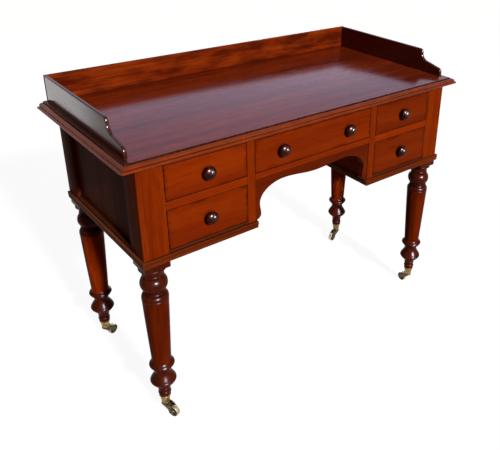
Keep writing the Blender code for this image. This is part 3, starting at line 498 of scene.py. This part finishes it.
def mouldedRim(form, profile, low, high, roundness, solid):
    # profile runs round the section: a solid board is capped above and below, a strip is closed on itself
    lines = []
    for inset, height in profile:
        lines.append([form.verts.new(point) for point in rimLine(low, high, inset, height, roundness)])
    pairs = list(zip(lines, lines[1:]))
    if not solid:
        pairs.append((lines[-1], lines[0]))
    for lower, upper in pairs:
        for i in range(len(lower) - 1):
            form.faces.new((lower[i], lower[i + 1], upper[i + 1], upper[i]))
    if solid:
        form.faces.new(lines[0])
        form.faces.new([line[0] for line in lines] + [line[-1] for line in reversed(lines)])
        form.faces.new(lines[-1])
    else:
        form.faces.new([line[0] for line in lines])
        form.faces.new([line[-1] for line in lines])


# Top board, moulded on the front and the two ends: a step, a thumb, a quirk and a bead
topSizes = {"arris": 0.8, "step": 3, "ledge": 3, "thumb": 8, "quirk": 1.5, "quirkDepth": 1.5, "bead": 7,
            "beadReach": 6, "cornerRound": 8, "endReach": 16}
topLow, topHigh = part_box("top_board")
surface = topHigh.z


def topProfile():
    size = {name: value * mm for name, value in topSizes.items()}
    reach, bead, thumb, arris = (size[name] for name in ("beadReach", "bead", "thumb", "arris"))
    quirkInset, thumbInset = reach + size["quirkDepth"], reach + thumb
    stepInset = thumbInset + size["ledge"]
    beadTop, ledge = topLow.z + bead, surface - size["step"]
    thumbFoot = beadTop + size["quirk"]
    profile = arcPoints((reach, topLow.z + bead / 2), -reach, bead / 2, -90, 90, 15)
    profile += [(quirkInset, beadTop), (quirkInset, thumbFoot)]
    profile += arcPoints((thumbInset, thumbFoot), -thumb, ledge - thumbFoot, 0, 90, 13)
    profile += [(stepInset, ledge), (stepInset, surface - arris)]
    profile += arcPoints((stepInset + arris, surface - arris), -arris, arris, 0, 90, 4)[1:]
    return profile


form = bmesh.new()
mouldedRim(form, topProfile(), topLow, topHigh, topSizes["cornerRound"] * mm, solid=True)
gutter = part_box("gallery_left")[0]
scribe(form, gutter, (1, 0, 0))
slack = 0.1 * mm   # a face this close to a level counts as on it
for face in form.faces:
    middle, facing = face.calc_center_median(), face.normal
    if middle.z < surface - topSizes["step"] * mm - slack:
        nearEnd = abs(middle.x) > topHigh.x - topSizes["endReach"] * mm
        atEnd = nearEnd and abs(facing.x) > abs(facing.y)
        face.material_index = 3 if atEnd else 1   # mouldings and underside
    elif middle.z < surface - slack or middle.x < gutter.x:
        face.material_index = 2   # the step and the strip outside the left gallery are darker
addPiece("MouldedTop", form, "moulded", (topWood, edgeWood, gutterWood, endEdgeWood), "carcase", "mahogany",
         "top_board")

# Gallery: a straight back board and two ends that sweep down in a scroll
gallerySizes = {"shoulderLength": 11.5, "shoulderHeight": 13, "coveLength": 27.5, "coveHeight": 22,
                "slopeLength": 35, "slopeDrop": 8, "noseLength": 14.5, "noseHeight": 14, "arris": 2.6}
backLow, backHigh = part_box("gallery_back")


def scrollOutline(low, high):
    size = {name: value * mm for name, value in gallerySizes.items()}
    noseY = low.y + size["noseLength"]
    hollowY = noseY + size["slopeLength"]
    shoulderY = hollowY + size["coveLength"] + size["shoulderLength"]
    step = high.z - size["shoulderHeight"]
    end = step - size["coveHeight"] - size["slopeDrop"] - size["noseHeight"]
    outline = [(high.y, low.z), (high.y, high.z)]
    outline += arcPoints((shoulderY, step), size["shoulderLength"], size["shoulderHeight"], 90, 180, 11)
    outline += arcPoints((hollowY, step), size["coveLength"], -size["coveHeight"], 0, 90, 15)[1:]
    outline += arcPoints((noseY, end), size["noseLength"], size["noseHeight"], 90, 180, 13)
    outline.append((low.y, low.z))
    return outline


mostly = 0.5   # a face whose normal has more than this along an axis faces that way
for side in sides:
    low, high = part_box("gallery_" + side)
    form = bmesh.new()
    sawnBoard(form, scrollOutline(low, high), -high.x, -low.x)
    form.transform(Matrix.Rotation(math.pi / 2, 4, "Z"))
    form.normal_update()
    for face in form.faces:
        face.material_index = 0 if abs(face.normal.x) > mostly else 1   # broad faces, then sawn edges
    board = addPiece("GalleryEnd." + side, form, "sawn", (galleryWood["y"], endGrain), "carcase",
                     "mahogany", "gallery_" + side)
    easeEdges(board, gallerySizes["arris"], segments=4)

form = bmesh.new()
footLine = [(backLow.x, backLow.z), (backHigh.x, backLow.z)]
headLine = [(backHigh.x, backHigh.z), (backLow.x, backHigh.z)]
sawnBoard(form, footLine + headLine, backLow.y, backHigh.y)
board = addPiece("GalleryBack", form, "sawn", (galleryWood["x"],), "carcase", "mahogany", "gallery_back")
easeEdges(board, gallerySizes["arris"])
print("top and gallery made")

# Legs: a square post above, turned below. Diameters and heights are in millimetres.
legSizes = {"stub": 6, "stubSet": 1, "capital": 66, "capitalHeight": 5, "capitalRound": (1.5, 2),
            "coveHeight": 15, "coveSet": 0.6, "neck": 49, "collar": 52, "collarHeight": 5, "collarNeck": 47,
            "collarNeckHeight": 3, "ball": 66, "ballHeight": 37, "ballKeel": 0.75, "ballNeck": 46,
            "ballNeckSet": 0.3, "ballNeckHeight": 2.5, "bead": 54, "beadHeight": 5, "beadSet": 0.2,
            "quirk": 2, "quirkStep": 1, "shoulder": 65, "shoulderRound": 12, "bandFoot": 14,
            "incision": 2.6, "incisionDepth": 1.1, "shaftDrop": 2, "shaftSet": 0.4, "shaftFoot": 47.8,
            "shaftSwell": 0.3, "shaftGap": 0.6, "flareShaft": 4, "ring": 63.5, "ringFlare": 10,
            "ringRound": 3.2, "ringBead": 55.6, "ringBeadDrop": 19.6, "ringBeadRound": 2.4, "ringNeck": 40,
            "ringNeckDrop": 36, "lowBall": 66, "keelDrop": 64, "keelRound": 5.5, "lowBallFoot": 89,
            "ankleBead": 32.6, "ankleBeadHeight": 5, "ankle": 30.5, "ankleHeight": 9, "ankleHollow": 0.5,
            "ankleRing": 33, "ankleRingHeight": 8, "ankleRingKeel": 0.8, "ankleFoot": 30.6, "ankleTaper": 5,
            "cupRise": 7, "cupGap": 0.3, "pegTop": 22, "pegFoot": 17, "pegLength": 13.5, "postArris": 1.4,
            "postClear": 42.24, "steps": 72}
# number of points, then the offsets of each free curve, down the leg
legCurves = {"flare": (8, (-1, 0), (0, -5), (-3.5, 2), (-1.5, 0)),
             "hollow": (8, (-1.3, -2.2), (-6.3, -5), (0, 6), (0, 0)),
             "ballTop": (10, (0, -1), (1, -9), (-3.5, 10), (-1.7, 4.1)),
             "ballFoot": (10, (-1.7, -4.1), (-5, -12), (2.5, 9), (0.5, 0))}


def postBox(name, axis):
    # the square post alone: its corners stand further from the axis than any turning
    clear = legSizes["postClear"] * mm
    points = [v.co for v in nodes[name].data.vertices if (v.co.xy - axis.xy).length > clear]
    return Vector(map(min, zip(*points))), Vector(map(max, zip(*points)))


def lowTurnings(top):
    # a flared ring with a sharp rim and a bead under it, then a keeled ball
    size = legSizes
    shaft, ankle = (size["shaftFoot"] / 2, top), (size["ankle"] / 2, top - size["lowBallFoot"])
    flareFoot = (size["ring"] / 2, top - size["ringFlare"])
    rim = (size["ring"] / 2, top - size["ringFlare"] - size["ringRound"])
    bead = (size["ringBead"] / 2, top - size["ringBeadDrop"])
    neck = (size["ringNeck"] / 2, top - size["ringNeckDrop"])
    keel = (size["lowBall"] / 2, top - size["keelDrop"])
    points = eased(legCurves["flare"], shaft, flareFoot)
    points += nosing(rim, size["ringRound"], 55, -60, 9)
    points += nosing(bead, size["ringBeadRound"], 70, -60, 7)
    points += eased(legCurves["hollow"], bead, neck)
    points += eased(legCurves["ballTop"], neck, keel)
    points += nosing(keel, size["keelRound"], 44, -44, 9)
    points += eased(legCurves["ballFoot"], keel, ankle)
    return points


def legProfile(top, cupTop):
    size = legSizes
    names = ("capital", "neck", "collarNeck", "ballNeck", "shoulder", "shaftFoot", "ankle")
    capital, neck, collarNeck, ballNeck, shoulder, shaftFoot, ankle = (size[name] / 2 for name in names)
    stub, coveTop = capital - size["stubSet"], capital - size["coveSet"]
    quirk = ballNeck + size["quirkStep"]
    across, up = size["capitalRound"]
    z = top - size["capitalHeight"]
    points = [(0, top + size["stub"]), (stub, top + size["stub"]), (stub, top)]
    points += arcPoints((capital - across, z + up), across, up, 90, 0, 5)
    points.append((capital, z))
    z -= size["coveHeight"]
    points += arcPoints((coveTop, z), neck - coveTop, size["coveHeight"], 90, 0, 13)
    points += swell(z, z - size["collarHeight"], neck, size["collar"] / 2, 9)[1:]
    z -= size["collarHeight"]
    points.append((collarNeck, z - size["collarNeckHeight"] / 2))
    z -= size["collarNeckHeight"]
    points += swell(z, z - size["ballHeight"], collarNeck, size["ball"] / 2, 25, size["ballKeel"])
    z -= size["ballHeight"]
    points += [(ballNeck, z - size["ballNeckSet"]), (ballNeck, z - size["ballNeckHeight"])]
    z -= size["ballNeckHeight"]
    points += swell(z - size["beadSet"], z - size["beadHeight"], ballNeck, size["bead"] / 2, 9)
    z -= size["beadHeight"] + size["quirk"]
    points += arcPoints((quirk, z - size["shoulderRound"]), shoulder - quirk, size["shoulderRound"],
                        90, 0, 11)
    z -= size["bandFoot"]
    points += groove(z, shoulder, size["incision"], size["incisionDepth"])
    shaftTop, shaftHead = z - size["shaftDrop"], shoulder - size["shaftSet"]
    lowest = cupTop + size["cupGap"]
    ankleParts = ("ankleTaper", "ankleRingHeight", "ankleHeight", "ankleBeadHeight")
    z = lowest + sum(size[name] for name in ankleParts)
    ringTop = z + size["lowBallFoot"]
    for step in range(9):
        share = step / 8
        bow = size["shaftSwell"] * math.sin(math.pi * share)
        points.append((shaftHead + (shaftFoot - shaftHead) * share + bow,
                       shaftTop + (ringTop + size["shaftGap"] - shaftTop) * share))
    points += lowTurnings(ringTop)[1:]
    points += swell(z, z - size["ankleBeadHeight"], ankle, size["ankleBead"] / 2, 9)
    z -= size["ankleBeadHeight"]
    for step in range(1, 6):
        share = step / 6
        hollow = size["ankleHollow"] * math.sin(math.pi * share)
        points.append((ankle - hollow, z - size["ankleHeight"] * share))
    z -= size["ankleHeight"]
    points += swell(z, z - size["ankleRingHeight"], ankle, size["ankleRing"] / 2, 11, size["ankleRingKeel"])
    points.append((size["ankleFoot"] / 2, lowest))
    pegFoot = cupTop - size["pegLength"]   # the peg stands in the castor cup
    points += [(size["pegTop"] / 2, lowest), (size["pegFoot"] / 2, pegFoot), (0, pegFoot)]
    return points, ringTop - size["flareShaft"], shaftTop


for corner in corners:
    side = corner.split("_")[1]
    cupLow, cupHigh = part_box("castor_cup_" + corner)
    axis = (cupLow + cupHigh) / 2
    low, high = postBox("leg_" + corner, axis)
    form = bmesh.new()
    profile, shaftFoot, shaftTop = legProfile(low.z / mm, cupHigh.z / mm + legSizes["cupRise"])
    turned(form, profile, legSizes["steps"])
    form.transform(Matrix.Translation((axis.x, axis.y, 0)))
    for face in form.faces:
        height = face.calc_center_median().z / mm
        face.material_index = 0 if shaftFoot < height < shaftTop else 2   # turnings take the darker copy, which is painted shade
    post = bmesh.new()
    bmesh.ops.create_cube(post, size=1.0)
    post.transform(Matrix.Translation((low + high) / 2) @ Matrix.Diagonal((*(high - low), 1)))
    bmesh.ops.bevel(post, geom=post.edges[:], offset=legSizes["postArris"] * mm, segments=3, profile=0.5,
                    affect="EDGES")
    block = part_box("base_moulding_" + side)[0]
    scribe(post, block, (0, 0, 1))
    for face in post.faces:
        outside = abs(face.normal.x) > mostly or (corner.startswith("back") and face.normal.y < -mostly)
        face.material_index = 3 if outside else 1   # these faces take the end panels' finish: darker and browner than the front, partly painted shade and haze
        if face.calc_center_median().z < block.z:
            face.material_index = 2   # the foot block under the base moulding takes the dark copy too, as painted shade
    square = bpy.data.meshes.new("Post")
    post.to_mesh(square)
    post.free()
    form.from_mesh(square)
    bpy.data.meshes.remove(square)
    addPiece("TurnedLeg." + corner, form, "leg", (legWood[corner], postWood[side], turningWood, panelWood),
             "carcase", "leg_mahogany", "leg_" + corner)
print("legs made")

# Apron over the kneehole, sawn to two crests and a pair of swelling feet
apronSizes = {"railGap": 0.3, "crestDepth": 21.5, "crestSpread": 206, "centreDrop": 8.5, "legWidth": 14.5,
              "kneeHeight": 50, "footSwell": 3.5, "footHeight": 15.2, "arris": 1.0}
apronLow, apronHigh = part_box("apron")


def apronOutline():
    size = {name: value * mm for name, value in apronSizes.items()}
    crestX, crest = size["crestSpread"] / 2, apronHigh.z + size["railGap"] - size["crestDepth"]
    outer = apronHigh.x
    kneeX, knee = outer - size["legWidth"], crest - size["kneeHeight"]
    toe = apronLow.z + size["footHeight"]
    right = []
    for step in range(16):
        share = step / 16
        rise = (1 - math.cos(math.pi * share)) / 2
        right.append((crestX * share, crest - size["centreDrop"] * (1 - rise)))
    right += arcPoints((crestX, knee), kneeX - crestX, size["kneeHeight"], 90, 0, 19)
    for step in range(1, 12):
        share = step / 12
        bulge = size["footSwell"] * (1 - math.cos(math.pi * share)) / 2
        right.append((kneeX - bulge, knee + (toe - knee) * share))
    right += arcPoints((outer, toe), -size["legWidth"] - size["footSwell"], -size["footHeight"], 0, 90, 11)
    left = [(-x, z) for x, z in right[:0:-1]]
    return left + right + [(outer, apronHigh.z), (-outer, apronHigh.z)]


form = bmesh.new()
sawnBoard(form, apronOutline(), apronLow.y, apronHigh.y)
apron = addPiece("Apron", form, "sawn", (apronWood,), "carcase", "mahogany", "apron")
easeEdges(apron, apronSizes["arris"])

# Base moulding round each pedestal: a thin lip above, then a bead, then a plain band
baseSizes = {"lip": 2.4, "lipArris": 0.8, "lipUnder": 0.4, "lipEdge": 0.5, "quirk": 1.0, "quirkDepth": 1.2,
             "beadHeight": 7.6, "beadSet": 0.4, "bandSet": 1.5, "bandArris": 0.5, "depth": 5.7,
             "cornerRound": 0.8}


def baseProfile(low, high):
    size = {name: value * mm for name, value in baseSizes.items()}
    depth, band, arris = size["depth"], size["bandSet"], size["bandArris"]
    hollow = band + size["quirkDepth"]
    lipFoot = high.z - size["lip"]
    beadTop = lipFoot - size["quirk"]
    beadFoot = beadTop - size["beadHeight"]
    middle = (hollow, (beadTop + beadFoot) / 2)
    profile = [(depth, low.z), (band + arris, low.z), (band, low.z + arris),
               (band, beadFoot - size["quirk"] / 2), (hollow, beadFoot)]
    profile += arcPoints(middle, size["beadSet"] - hollow, -size["beadHeight"] / 2, 90, -90, 13)[1:]
    profile += [(hollow, lipFoot), (size["lipUnder"], lipFoot), (0, lipFoot + size["lipEdge"]),
                (0, high.z - size["lipArris"]), (size["lipArris"], high.z), (depth, high.z)]
    return profile


for side in sides:
    low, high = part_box("base_moulding_" + side)
    form = bmesh.new()
    mouldedRim(form, baseProfile(low, high), low, high, baseSizes["cornerRound"] * mm, solid=False)
    for face in form.faces:
        face.material_index = 1 if face.calc_center_median().y > low.y + baseSizes["depth"] * mm else 0
    addPiece("BaseMoulding." + side, form, "moulded", (baseWood["front"], baseWood["end"]), "carcase",
             "mahogany", "base_moulding_" + side)
print("apron and base mouldings made")

# Turned knobs: a flat foot, a waisted neck and a low domed head with a fine bead at its rim
knobSizes = {"foot": 22, "footHeight": 3, "footRound": (1.4, 0.9), "neck": 15, "neckHeight": 3.5,
             "hollow": (2, 1.9), "hollowRise": 1.2, "hollowFoot": 0.4, "head": 33.5, "rimHeight": 4,
             "rimBead": 0.4, "shank": 10, "gap": 0.3, "steps": 64}
knobNames = ("upper_left", "lower_left", "centre_left", "centre_right", "upper_right", "lower_right")


def knobProfile(projection, shankEnd):
    size = knobSizes
    foot, neck, head, shank = (size[name] / 2 for name in ("foot", "neck", "head", "shank"))
    footTop, hollowFoot = size["footHeight"], size["hollowFoot"]
    rimBead, gap = size["rimBead"], size["gap"]
    widest = footTop + size["neckHeight"] + size["rimHeight"]
    points = [(0, projection)]
    points += arcPoints((0, widest), head, projection - widest, 90, 4, 15)[1:]
    points += arcPoints((neck, widest - rimBead), head - neck, rimBead - size["rimHeight"], 0, 90, 11)
    across, up = size["hollow"]
    points += arcPoints((neck + across, footTop + size["hollowRise"]), -across, up, 60, 0, 5)
    points.append((neck + hollowFoot, footTop + hollowFoot))
    across, up = size["footRound"]
    points += arcPoints((foot - across, footTop - up), across, up, 90, 0, 5)
    points += [(foot, gap), (shank, gap), (shank, shankEnd), (0, shankEnd)]
    return points


for name in knobNames:
    drawer = "centre" if name.startswith("centre") else name
    low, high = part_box("knob_" + name)
    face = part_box("drawer_front_" + drawer)[0].y
    form = bmesh.new()
    turned(form, knobProfile((face - low.y) / mm, (face - high.y) / mm), knobSizes["steps"])
    form.transform(Matrix.Translation(((low.x + high.x) / 2, face, (low.z + high.z) / 2))
                   @ Matrix.Rotation(math.pi / 2, 4, "X"))
    addPiece("Knob." + name, form, "knob", (knobWood,), "drawer_" + drawer, "knob_wood", "knob_" + name)
print("knobs made")

# Castors: a turned cup on the leg, a horn with two curved arms, and a crowned wheel between them
castorSteps = 48
castorCurves = {"cupWall": (9, (-1.1, -1.4), (-2.6, -6), (0.2, 6), (0, 3.4)),
                "plateFoot": (8, (-1.2, -3.4), (-2, -5.5), (7, -1.5), (0, -2)),
                "armFront": (13, (7.5, -0.6), (16, -1.2), (1.6, 9), (0, 0)),
                "armBack": (13, (0, 0), (-1.5, 8), (3, -6), (-7.5, 0))}
cupSizes = {"rim": 15.3, "rimRound": 1, "rimBand": 3.4, "bandRound": 0.8, "rimGroove": 0.7,
            "grooveTop": 0.3, "grooveFoot": 1.2, "wall": 2.2, "base": 10.4, "footBead": 3,
            "footBeadRoot": 0.6, "footBeadCrest": 0.5, "floor": 3.5, "bore": 3.3}


def cupProfile(top, bottom):
    size = cupSizes
    rim, base, bore = size["rim"], size["base"], size["bore"]
    band, floor = top - size["rimBand"], bottom + size["floor"]
    lining, throat = rim - size["wall"], rim - size["wall"] / 2
    points = [(lining, top)]
    points += nosing((rim, top - size["rimRound"]), size["rimRound"], 90, 0, 4)
    points += nosing((rim, band + size["bandRound"]), size["bandRound"], 0, -90, 4)
    points += [(throat - size["rimGroove"], band - size["grooveTop"]), (throat, band - size["grooveFoot"])]
    points += eased(castorCurves["cupWall"], (rim, band), (base, bottom))[1:]
    points += swell(bottom + size["footBead"], bottom, base - size["footBeadRoot"],
                    base + size["footBeadCrest"], 7)
    points += [(bore, bottom), (bore, floor), (base - size["wall"], floor), (lining, top)]
    return points


hornSizes = {"gap": 0.3, "pin": 3, "pinHead": 5, "pinHeadHeight": 2, "pinPlay": 0.6, "plate": 11,
             "plateHeight": 6, "plateRound": 1, "plateWaist": 2.4, "waistDepth": 0.8, "cheek": 2.8,
             "cheekInside": 6.6, "cheekArris": 0.9, "trail": 24, "eye": 6, "axle": 2.25, "rivet": 3.1,
             "rivetDome": 0.9, "rivetSink": 0.6, "crown": 2, "crownGap": 1.1, "crownTuck": 1,
             "crownSet": 0.8}
hornAngles = {"eye": (55, -155), "crownFront": 116, "crownTop": 124, "crownBack": 165}


def hornProfile(top, bottom):
    # the swivel pin with its riveted head, and the plate under the cup
    size = hornSizes
    pin, head, plate, ease = size["pin"], size["pinHead"], size["plate"], size["plateRound"]
    headFoot = top + cupSizes["floor"] + size["pinPlay"]
    headTop = headFoot + size["pinHeadHeight"]
    points = [(0, headTop), (head, headTop), (head, headFoot), (pin, headFoot), (pin, top)]
    points += nosing((plate, top - ease), ease, 90, 0, 4)
    points += arcPoints((plate - ease, top - size["plateWaist"]), ease, -size["waistDepth"], 0, 90, 4)
    points += eased(castorCurves["plateFoot"], (plate, top), (0, bottom))
    return points


def armOutline(top, bottom, axle):
    size = hornSizes
    eye = arcPoints((size["trail"], axle), size["eye"], size["eye"], *hornAngles["eye"], 19)
    points = eased(castorCurves["armFront"], (0, top), eye[0])
    points += eye[1:]
    points += eased(castorCurves["armBack"], eye[-1], (0, bottom))[1:]
    points.append((points[-1][0], points[0][1]))
    return points


def crownOutline(plateFoot, axle):
    # the web that joins the two arms behind the wheel, under the plate
    size, angles = hornSizes, hornAngles
    middle, inner = (size["trail"], axle), axle + size["crownGap"]
    outer, head = inner + size["crown"], plateFoot + size["crownTuck"]
    points = arcPoints(middle, outer, outer, angles["crownFront"], angles["crownTop"], 3)
    points += [(size["plate"] - size["crownSet"], head), (-size["plate"] / 2, head)]
    return points + arcPoints(middle, inner, inner, angles["crownBack"], angles["crownFront"], 9)


def mirrored(points):
    return [(across, -along) for across, along in reversed(points)]


def axleProfile():
    # a rod with a domed rivet outside each arm
    size = hornSizes
    reach, rivet, axle = size["cheekInside"] + size["cheek"], size["rivet"], size["axle"]
    half = [(0, reach + size["rivetDome"])]
    half += arcPoints((0, reach), rivet, size["rivetDome"], 75, 0, 5)
    half += [(rivet, reach - size["rivetSink"]), (axle, reach - size["rivetSink"])]
    return half + mirrored(half)


wheelSizes = {"half": 6, "axleGap": 0.2, "floorGap": 0.03, "boss": 3.4, "bossEdge": 4.0, "bossEase": 0.4,
              "bossFoot": 4.6, "dish": 1.4, "dishRim": 3.4, "flange": 2.9, "flangeEase": 0.5,
              "flangeSet": (1.9, 1.7), "flangeRound": (1.3, 1.5), "treadRound": 0.7, "treadSet": 2.4,
              "brightHub": 4.8, "brightTread": 2.4}


def wheelProfile(radius):
    # one face from the bore to the flange, the tread, then the other face in mirror
    size = wheelSizes
    half, dish = size["half"], size["half"] - size["dish"]
    face = [(hornSizes["axle"] + size["axleGap"], half), (size["boss"], half),
            (size["bossEdge"], half - size["bossEase"]), (size["bossFoot"], dish),
            (radius - size["dishRim"], dish), (radius - size["flange"], half - size["flangeEase"])]
    inset, drop = size["flangeSet"]
    face += arcPoints((radius - inset, half - drop), *size["flangeRound"], 100, 20, 6)
    ease = size["treadRound"]
    tread = arcPoints((radius - ease, 0), ease, half - size["treadSet"], 80, -80, 9)
    return face + tread + mirrored(face) + face[:1]


def inMetres(outline):
    return [(along * mm, up * mm) for along, up in outline]


inside = hornSizes["cheekInside"] * mm
outside = inside + hornSizes["cheek"] * mm
for corner in corners:
    cupLow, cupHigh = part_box("castor_cup_" + corner)
    wheelLow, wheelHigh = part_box("castor_wheel_" + corner)
    axis = (cupLow + cupHigh) / 2
    hub = (wheelLow + wheelHigh) / 2
    heading = Vector((hub.x - axis.x, hub.y - axis.y, 0)).normalized()
    across = Vector((0, 0, 1)).cross(heading)
    place = Matrix((heading, across, Vector((0, 0, 1)))).transposed().to_4x4()
    place.translation = (axis.x, axis.y, 0)
    onAxle = place @ Matrix.Translation((hornSizes["trail"] * mm, 0, hub.z))
    onAxle = onAxle @ Matrix.Rotation(math.pi / 2, 4, "X")
    axle = hub.z / mm
    plateTop = cupLow.z / mm - hornSizes["gap"]
    plateFoot = plateTop - hornSizes["plateHeight"]

    form = bmesh.new()
    turned(form, cupProfile(cupHigh.z / mm + legSizes["cupRise"], cupLow.z / mm), castorSteps)
    form.transform(Matrix.Translation((axis.x, axis.y, 0)))
    addPiece("CastorCup." + corner, form, "cast", (castBrass,), "carcase", "brass", "castor_cup_" + corner)

    form = bmesh.new()
    turned(form, hornProfile(plateTop, plateFoot), castorSteps)
    sawnBoard(form, inMetres(crownOutline(plateFoot, axle)), -inside, inside)
    form.transform(place)
    addPiece("CastorHorn." + corner, form, "cast", (hornBrass,), "castor_" + corner, "brass",
             "castor_horn_" + corner)
    for side, sign in sides.items():
        start, end = sorted((sign * inside, sign * outside))
        form = bmesh.new()
        sawnBoard(form, inMetres(armOutline(plateTop, plateFoot, axle)), start, end)
        form.transform(place)
        arm = addPiece("CastorArm." + corner + "_" + side, form, "sawn", (hornBrass,), "castor_" + corner,
                       "brass")
        easeEdges(arm, hornSizes["cheekArris"], angle=50)

    form = bmesh.new()
    turned(form, axleProfile(), castorSteps)
    form.transform(onAxle)
    addPiece("CastorAxle." + corner, form, "rivet", (hornBrass,), "castor_" + corner, "brass")

    form = bmesh.new()
    radius = axle - wheelSizes["floorGap"]
    turned(form, wheelProfile(radius), castorSteps)
    for face in form.faces:
        reach = face.calc_center_median().xy.length / mm
        dark = wheelSizes["brightHub"] < reach < radius - wheelSizes["brightTread"]
        face.material_index = 0 if dark else 1   # hub and tread are rubbed bright
    form.transform(onAxle)
    addPiece("CastorWheel." + corner, form, "cast", (wheelBrass, treadBrass), "wheel_" + corner,
             "wheel_brass", "castor_wheel_" + corner)
print("castors made")

# Boards that keep their CAD shape get their timber and an arris eased by this many millimetres
boards = {"top_rail": (fronts["x"], 0.6), "back_rail": (backWood["x"], 0.8)}
pairedBoards = {"drawer_rail": (railWood, 0.8), "dust_board": (pine["x"], 0.6),
                "pedestal_bottom": (bottomWood, 0.8), "inner_side": (fronts["z"], 0.8),
                "end_panel": (panelWood, 0.5), "pedestal_back": (backWood["z"], 0.8)}
skinWeld = 0.02   # millimetres within which a board's facets share their points
for name, dress in pairedBoards.items():
    for side in sides:
        boards[name + "_" + side] = dress
for name in ("drawer_rail", "dust_board"):
    boards[name + "_centre"] = pairedBoards[name]
for name in drawerTonesAndPaintedShade:
    boards["drawer_front_" + name] = (drawerWood[name], 1.1)
    boards["drawer_box_" + name] = (pine["y"], 1.2)
    boards["drawer_bottom_" + name] = (pine["x"], 0.4)
for name, (timber, arris) in boards.items():
    board = nodes[name]
    board.data.materials.clear()
    board.data.materials.append(timber)
    weld = board.modifiers.new("OneSkin", "WELD")
    weld.merge_threshold = skinWeld * mm
    easeEdges(board, arris, segments=2)
print("CAD boards dressed")

# Floor, lamps, background and camera.
# The background is white in every reflection, so the wood's gloss is set low. Three lamps that add only
# reflections bring its highlights back: glint on the legs, the knobs and the gallery's ends, flash on the
# knobs, and a window that the gallery's ends mirror.
studio = {"floor": "#6d6b69", "floorHalf": 9, "floorRoughness": 0.9, "floorGlow": 0.925, "white": "#ffffff",
          "worldFill": 0.06, "fillColour": "#eef1ff",
          "sun": {"towards": (0.06, 0.878, -0.475), "width": 0.085, "power": 3.45, "colour": "#fff6ee"},
          "glint": {"towards": (0.06, 0.878, -0.475), "width": 0.085, "power": 72, "colour": "#ffffff",
                    "on": ("TurnedLeg", "Knob", "GalleryEnd")},
          "flash": {"towards": (-0.587, 0.809, 0.04), "width": 0.085, "power": 34, "colour": "#ffffff",
                    "on": ("Knob",)},
          "window": {"place": (-0.8, 1.22, 0.45), "aim": (-0.5, 1.22, 0.45), "size": 0.9, "power": 4.6,
                     "colour": "#ffffff", "on": ("GalleryEnd",)},
          "sky": {"place": (1.75, 2.35, 1.85), "aim": (0.0, 0.0, 0.75), "size": 3.6, "power": 22,
                  "colour": "#8488ff"},
          "fill": {"place": (1.9, 2.2, 0.42), "aim": (0.0, 0.0, 0.5), "size": 0.8, "power": 40,
                   "colour": "#fff4ea"}}   # below the top, so that only the back and the right end see it


def seenDirectly(tree):
    # 1 for what the camera, a gloss or a glass sees, 0 for the light that falls on the table
    rays = addNode(tree, "ShaderNodeLightPath").outputs
    seen = rays["Is Camera Ray"]
    for ray in ("Is Glossy Ray", "Is Transmission Ray"):
        seen = addNode(tree, "ShaderNodeMath", {"operation": "MAXIMUM", 0: seen, 1: rays[ray]}).outputs[0]
    return seen


form = bmesh.new()
bmesh.ops.create_grid(form, x_segments=2, y_segments=2, size=studio["floorHalf"])
floor = bpy.data.objects.new("StudioFloor", newMesh("StudioFloor", form, "floor"))
scene.collection.objects.link(floor)
paint, tree, shader = newMaterial("MattFloorPaint")   # even, matt and pale, so that only the shadow shows
shader.inputs["Base Color"].default_value = hexColour(studio["floor"])
shader.inputs["Roughness"].default_value = studio["floorRoughness"]
shader.inputs["Specular IOR Level"].default_value = 0.0
shader.inputs["Emission Color"].default_value = hexColour(studio["white"])
glow = addNode(tree, "ShaderNodeMath",
               {"operation": "MULTIPLY", 0: seenDirectly(tree), 1: studio["floorGlow"]})
tree.links.new(glow.outputs[0], shader.inputs["Emission Strength"])
floor.data.materials.append(paint)

world = bpy.data.worlds.new("StudioWorld")
scene.world = world
world.use_nodes = True
tree = world.node_tree
background = tree.nodes["Background"]
seen = seenDirectly(tree)
shade = glaze(tree, studio["fillColour"], studio["white"], seen)
level = addNode(tree, "ShaderNodeMapRange", {"To Min": studio["worldFill"], "To Max": 1.0, "Value": seen})
tree.links.new(shade, background.inputs["Color"])
tree.links.new(level.outputs[0], background.inputs["Strength"])

for name in ("sun", "glint", "flash", "window", "sky", "fill"):
    setting = studio[name]
    lamp = bpy.data.lights.new("Lamp." + name, "SUN" if "towards" in setting else "AREA")
    lamp.energy, lamp.color = setting["power"], hexColour(setting["colour"])[:3]
    stand = bpy.data.objects.new("Lamp." + name, lamp)
    scene.collection.objects.link(stand)
    stand.visible_camera = False
    if "towards" in setting:
        ahead = Vector(setting["towards"])
        lamp.angle = setting["width"]
    else:
        ahead = Vector(setting["aim"]) - Vector(setting["place"])
        lamp.size = setting["size"]
        stand.location = setting["place"]
    stand.rotation_euler = ahead.to_track_quat("-Z", "Y").to_euler()
    if "on" in setting:
        lit = bpy.data.collections.new("Lit." + name)
        for piece in scene.objects:
            if piece.name.startswith(setting["on"]):
                lit.objects.link(piece)
        stand.visible_diffuse = False
        stand.light_linking.receiver_collection = lit

# The view is worked out from the photograph: 500 by 450 pixels, looking down at the front and the left end
viewpoint = {"place": (-0.98, -1.3544, 1.2974), "ahead": (0.59667, 0.67793, -0.42941),
             "right": (0.7597, -0.64958, 0.0301), "sensor": 36, "lens": 44.93, "shift": (-0.14, -0.11)}
camera = bpy.data.objects.new("Camera", bpy.data.cameras.new("Camera"))
scene.collection.objects.link(camera)
ahead, right = Vector(viewpoint["ahead"]), Vector(viewpoint["right"])
turn = Matrix((right, right.cross(ahead), -ahead)).transposed().to_4x4()
camera.matrix_world = Matrix.Translation(viewpoint["place"]) @ turn
camera.data.sensor_width = viewpoint["sensor"]
camera.data.lens = viewpoint["lens"]
camera.data.shift_x, camera.data.shift_y = viewpoint["shift"]
scene.camera = camera
scene.view_settings.view_transform = "Standard"
print("studio set")
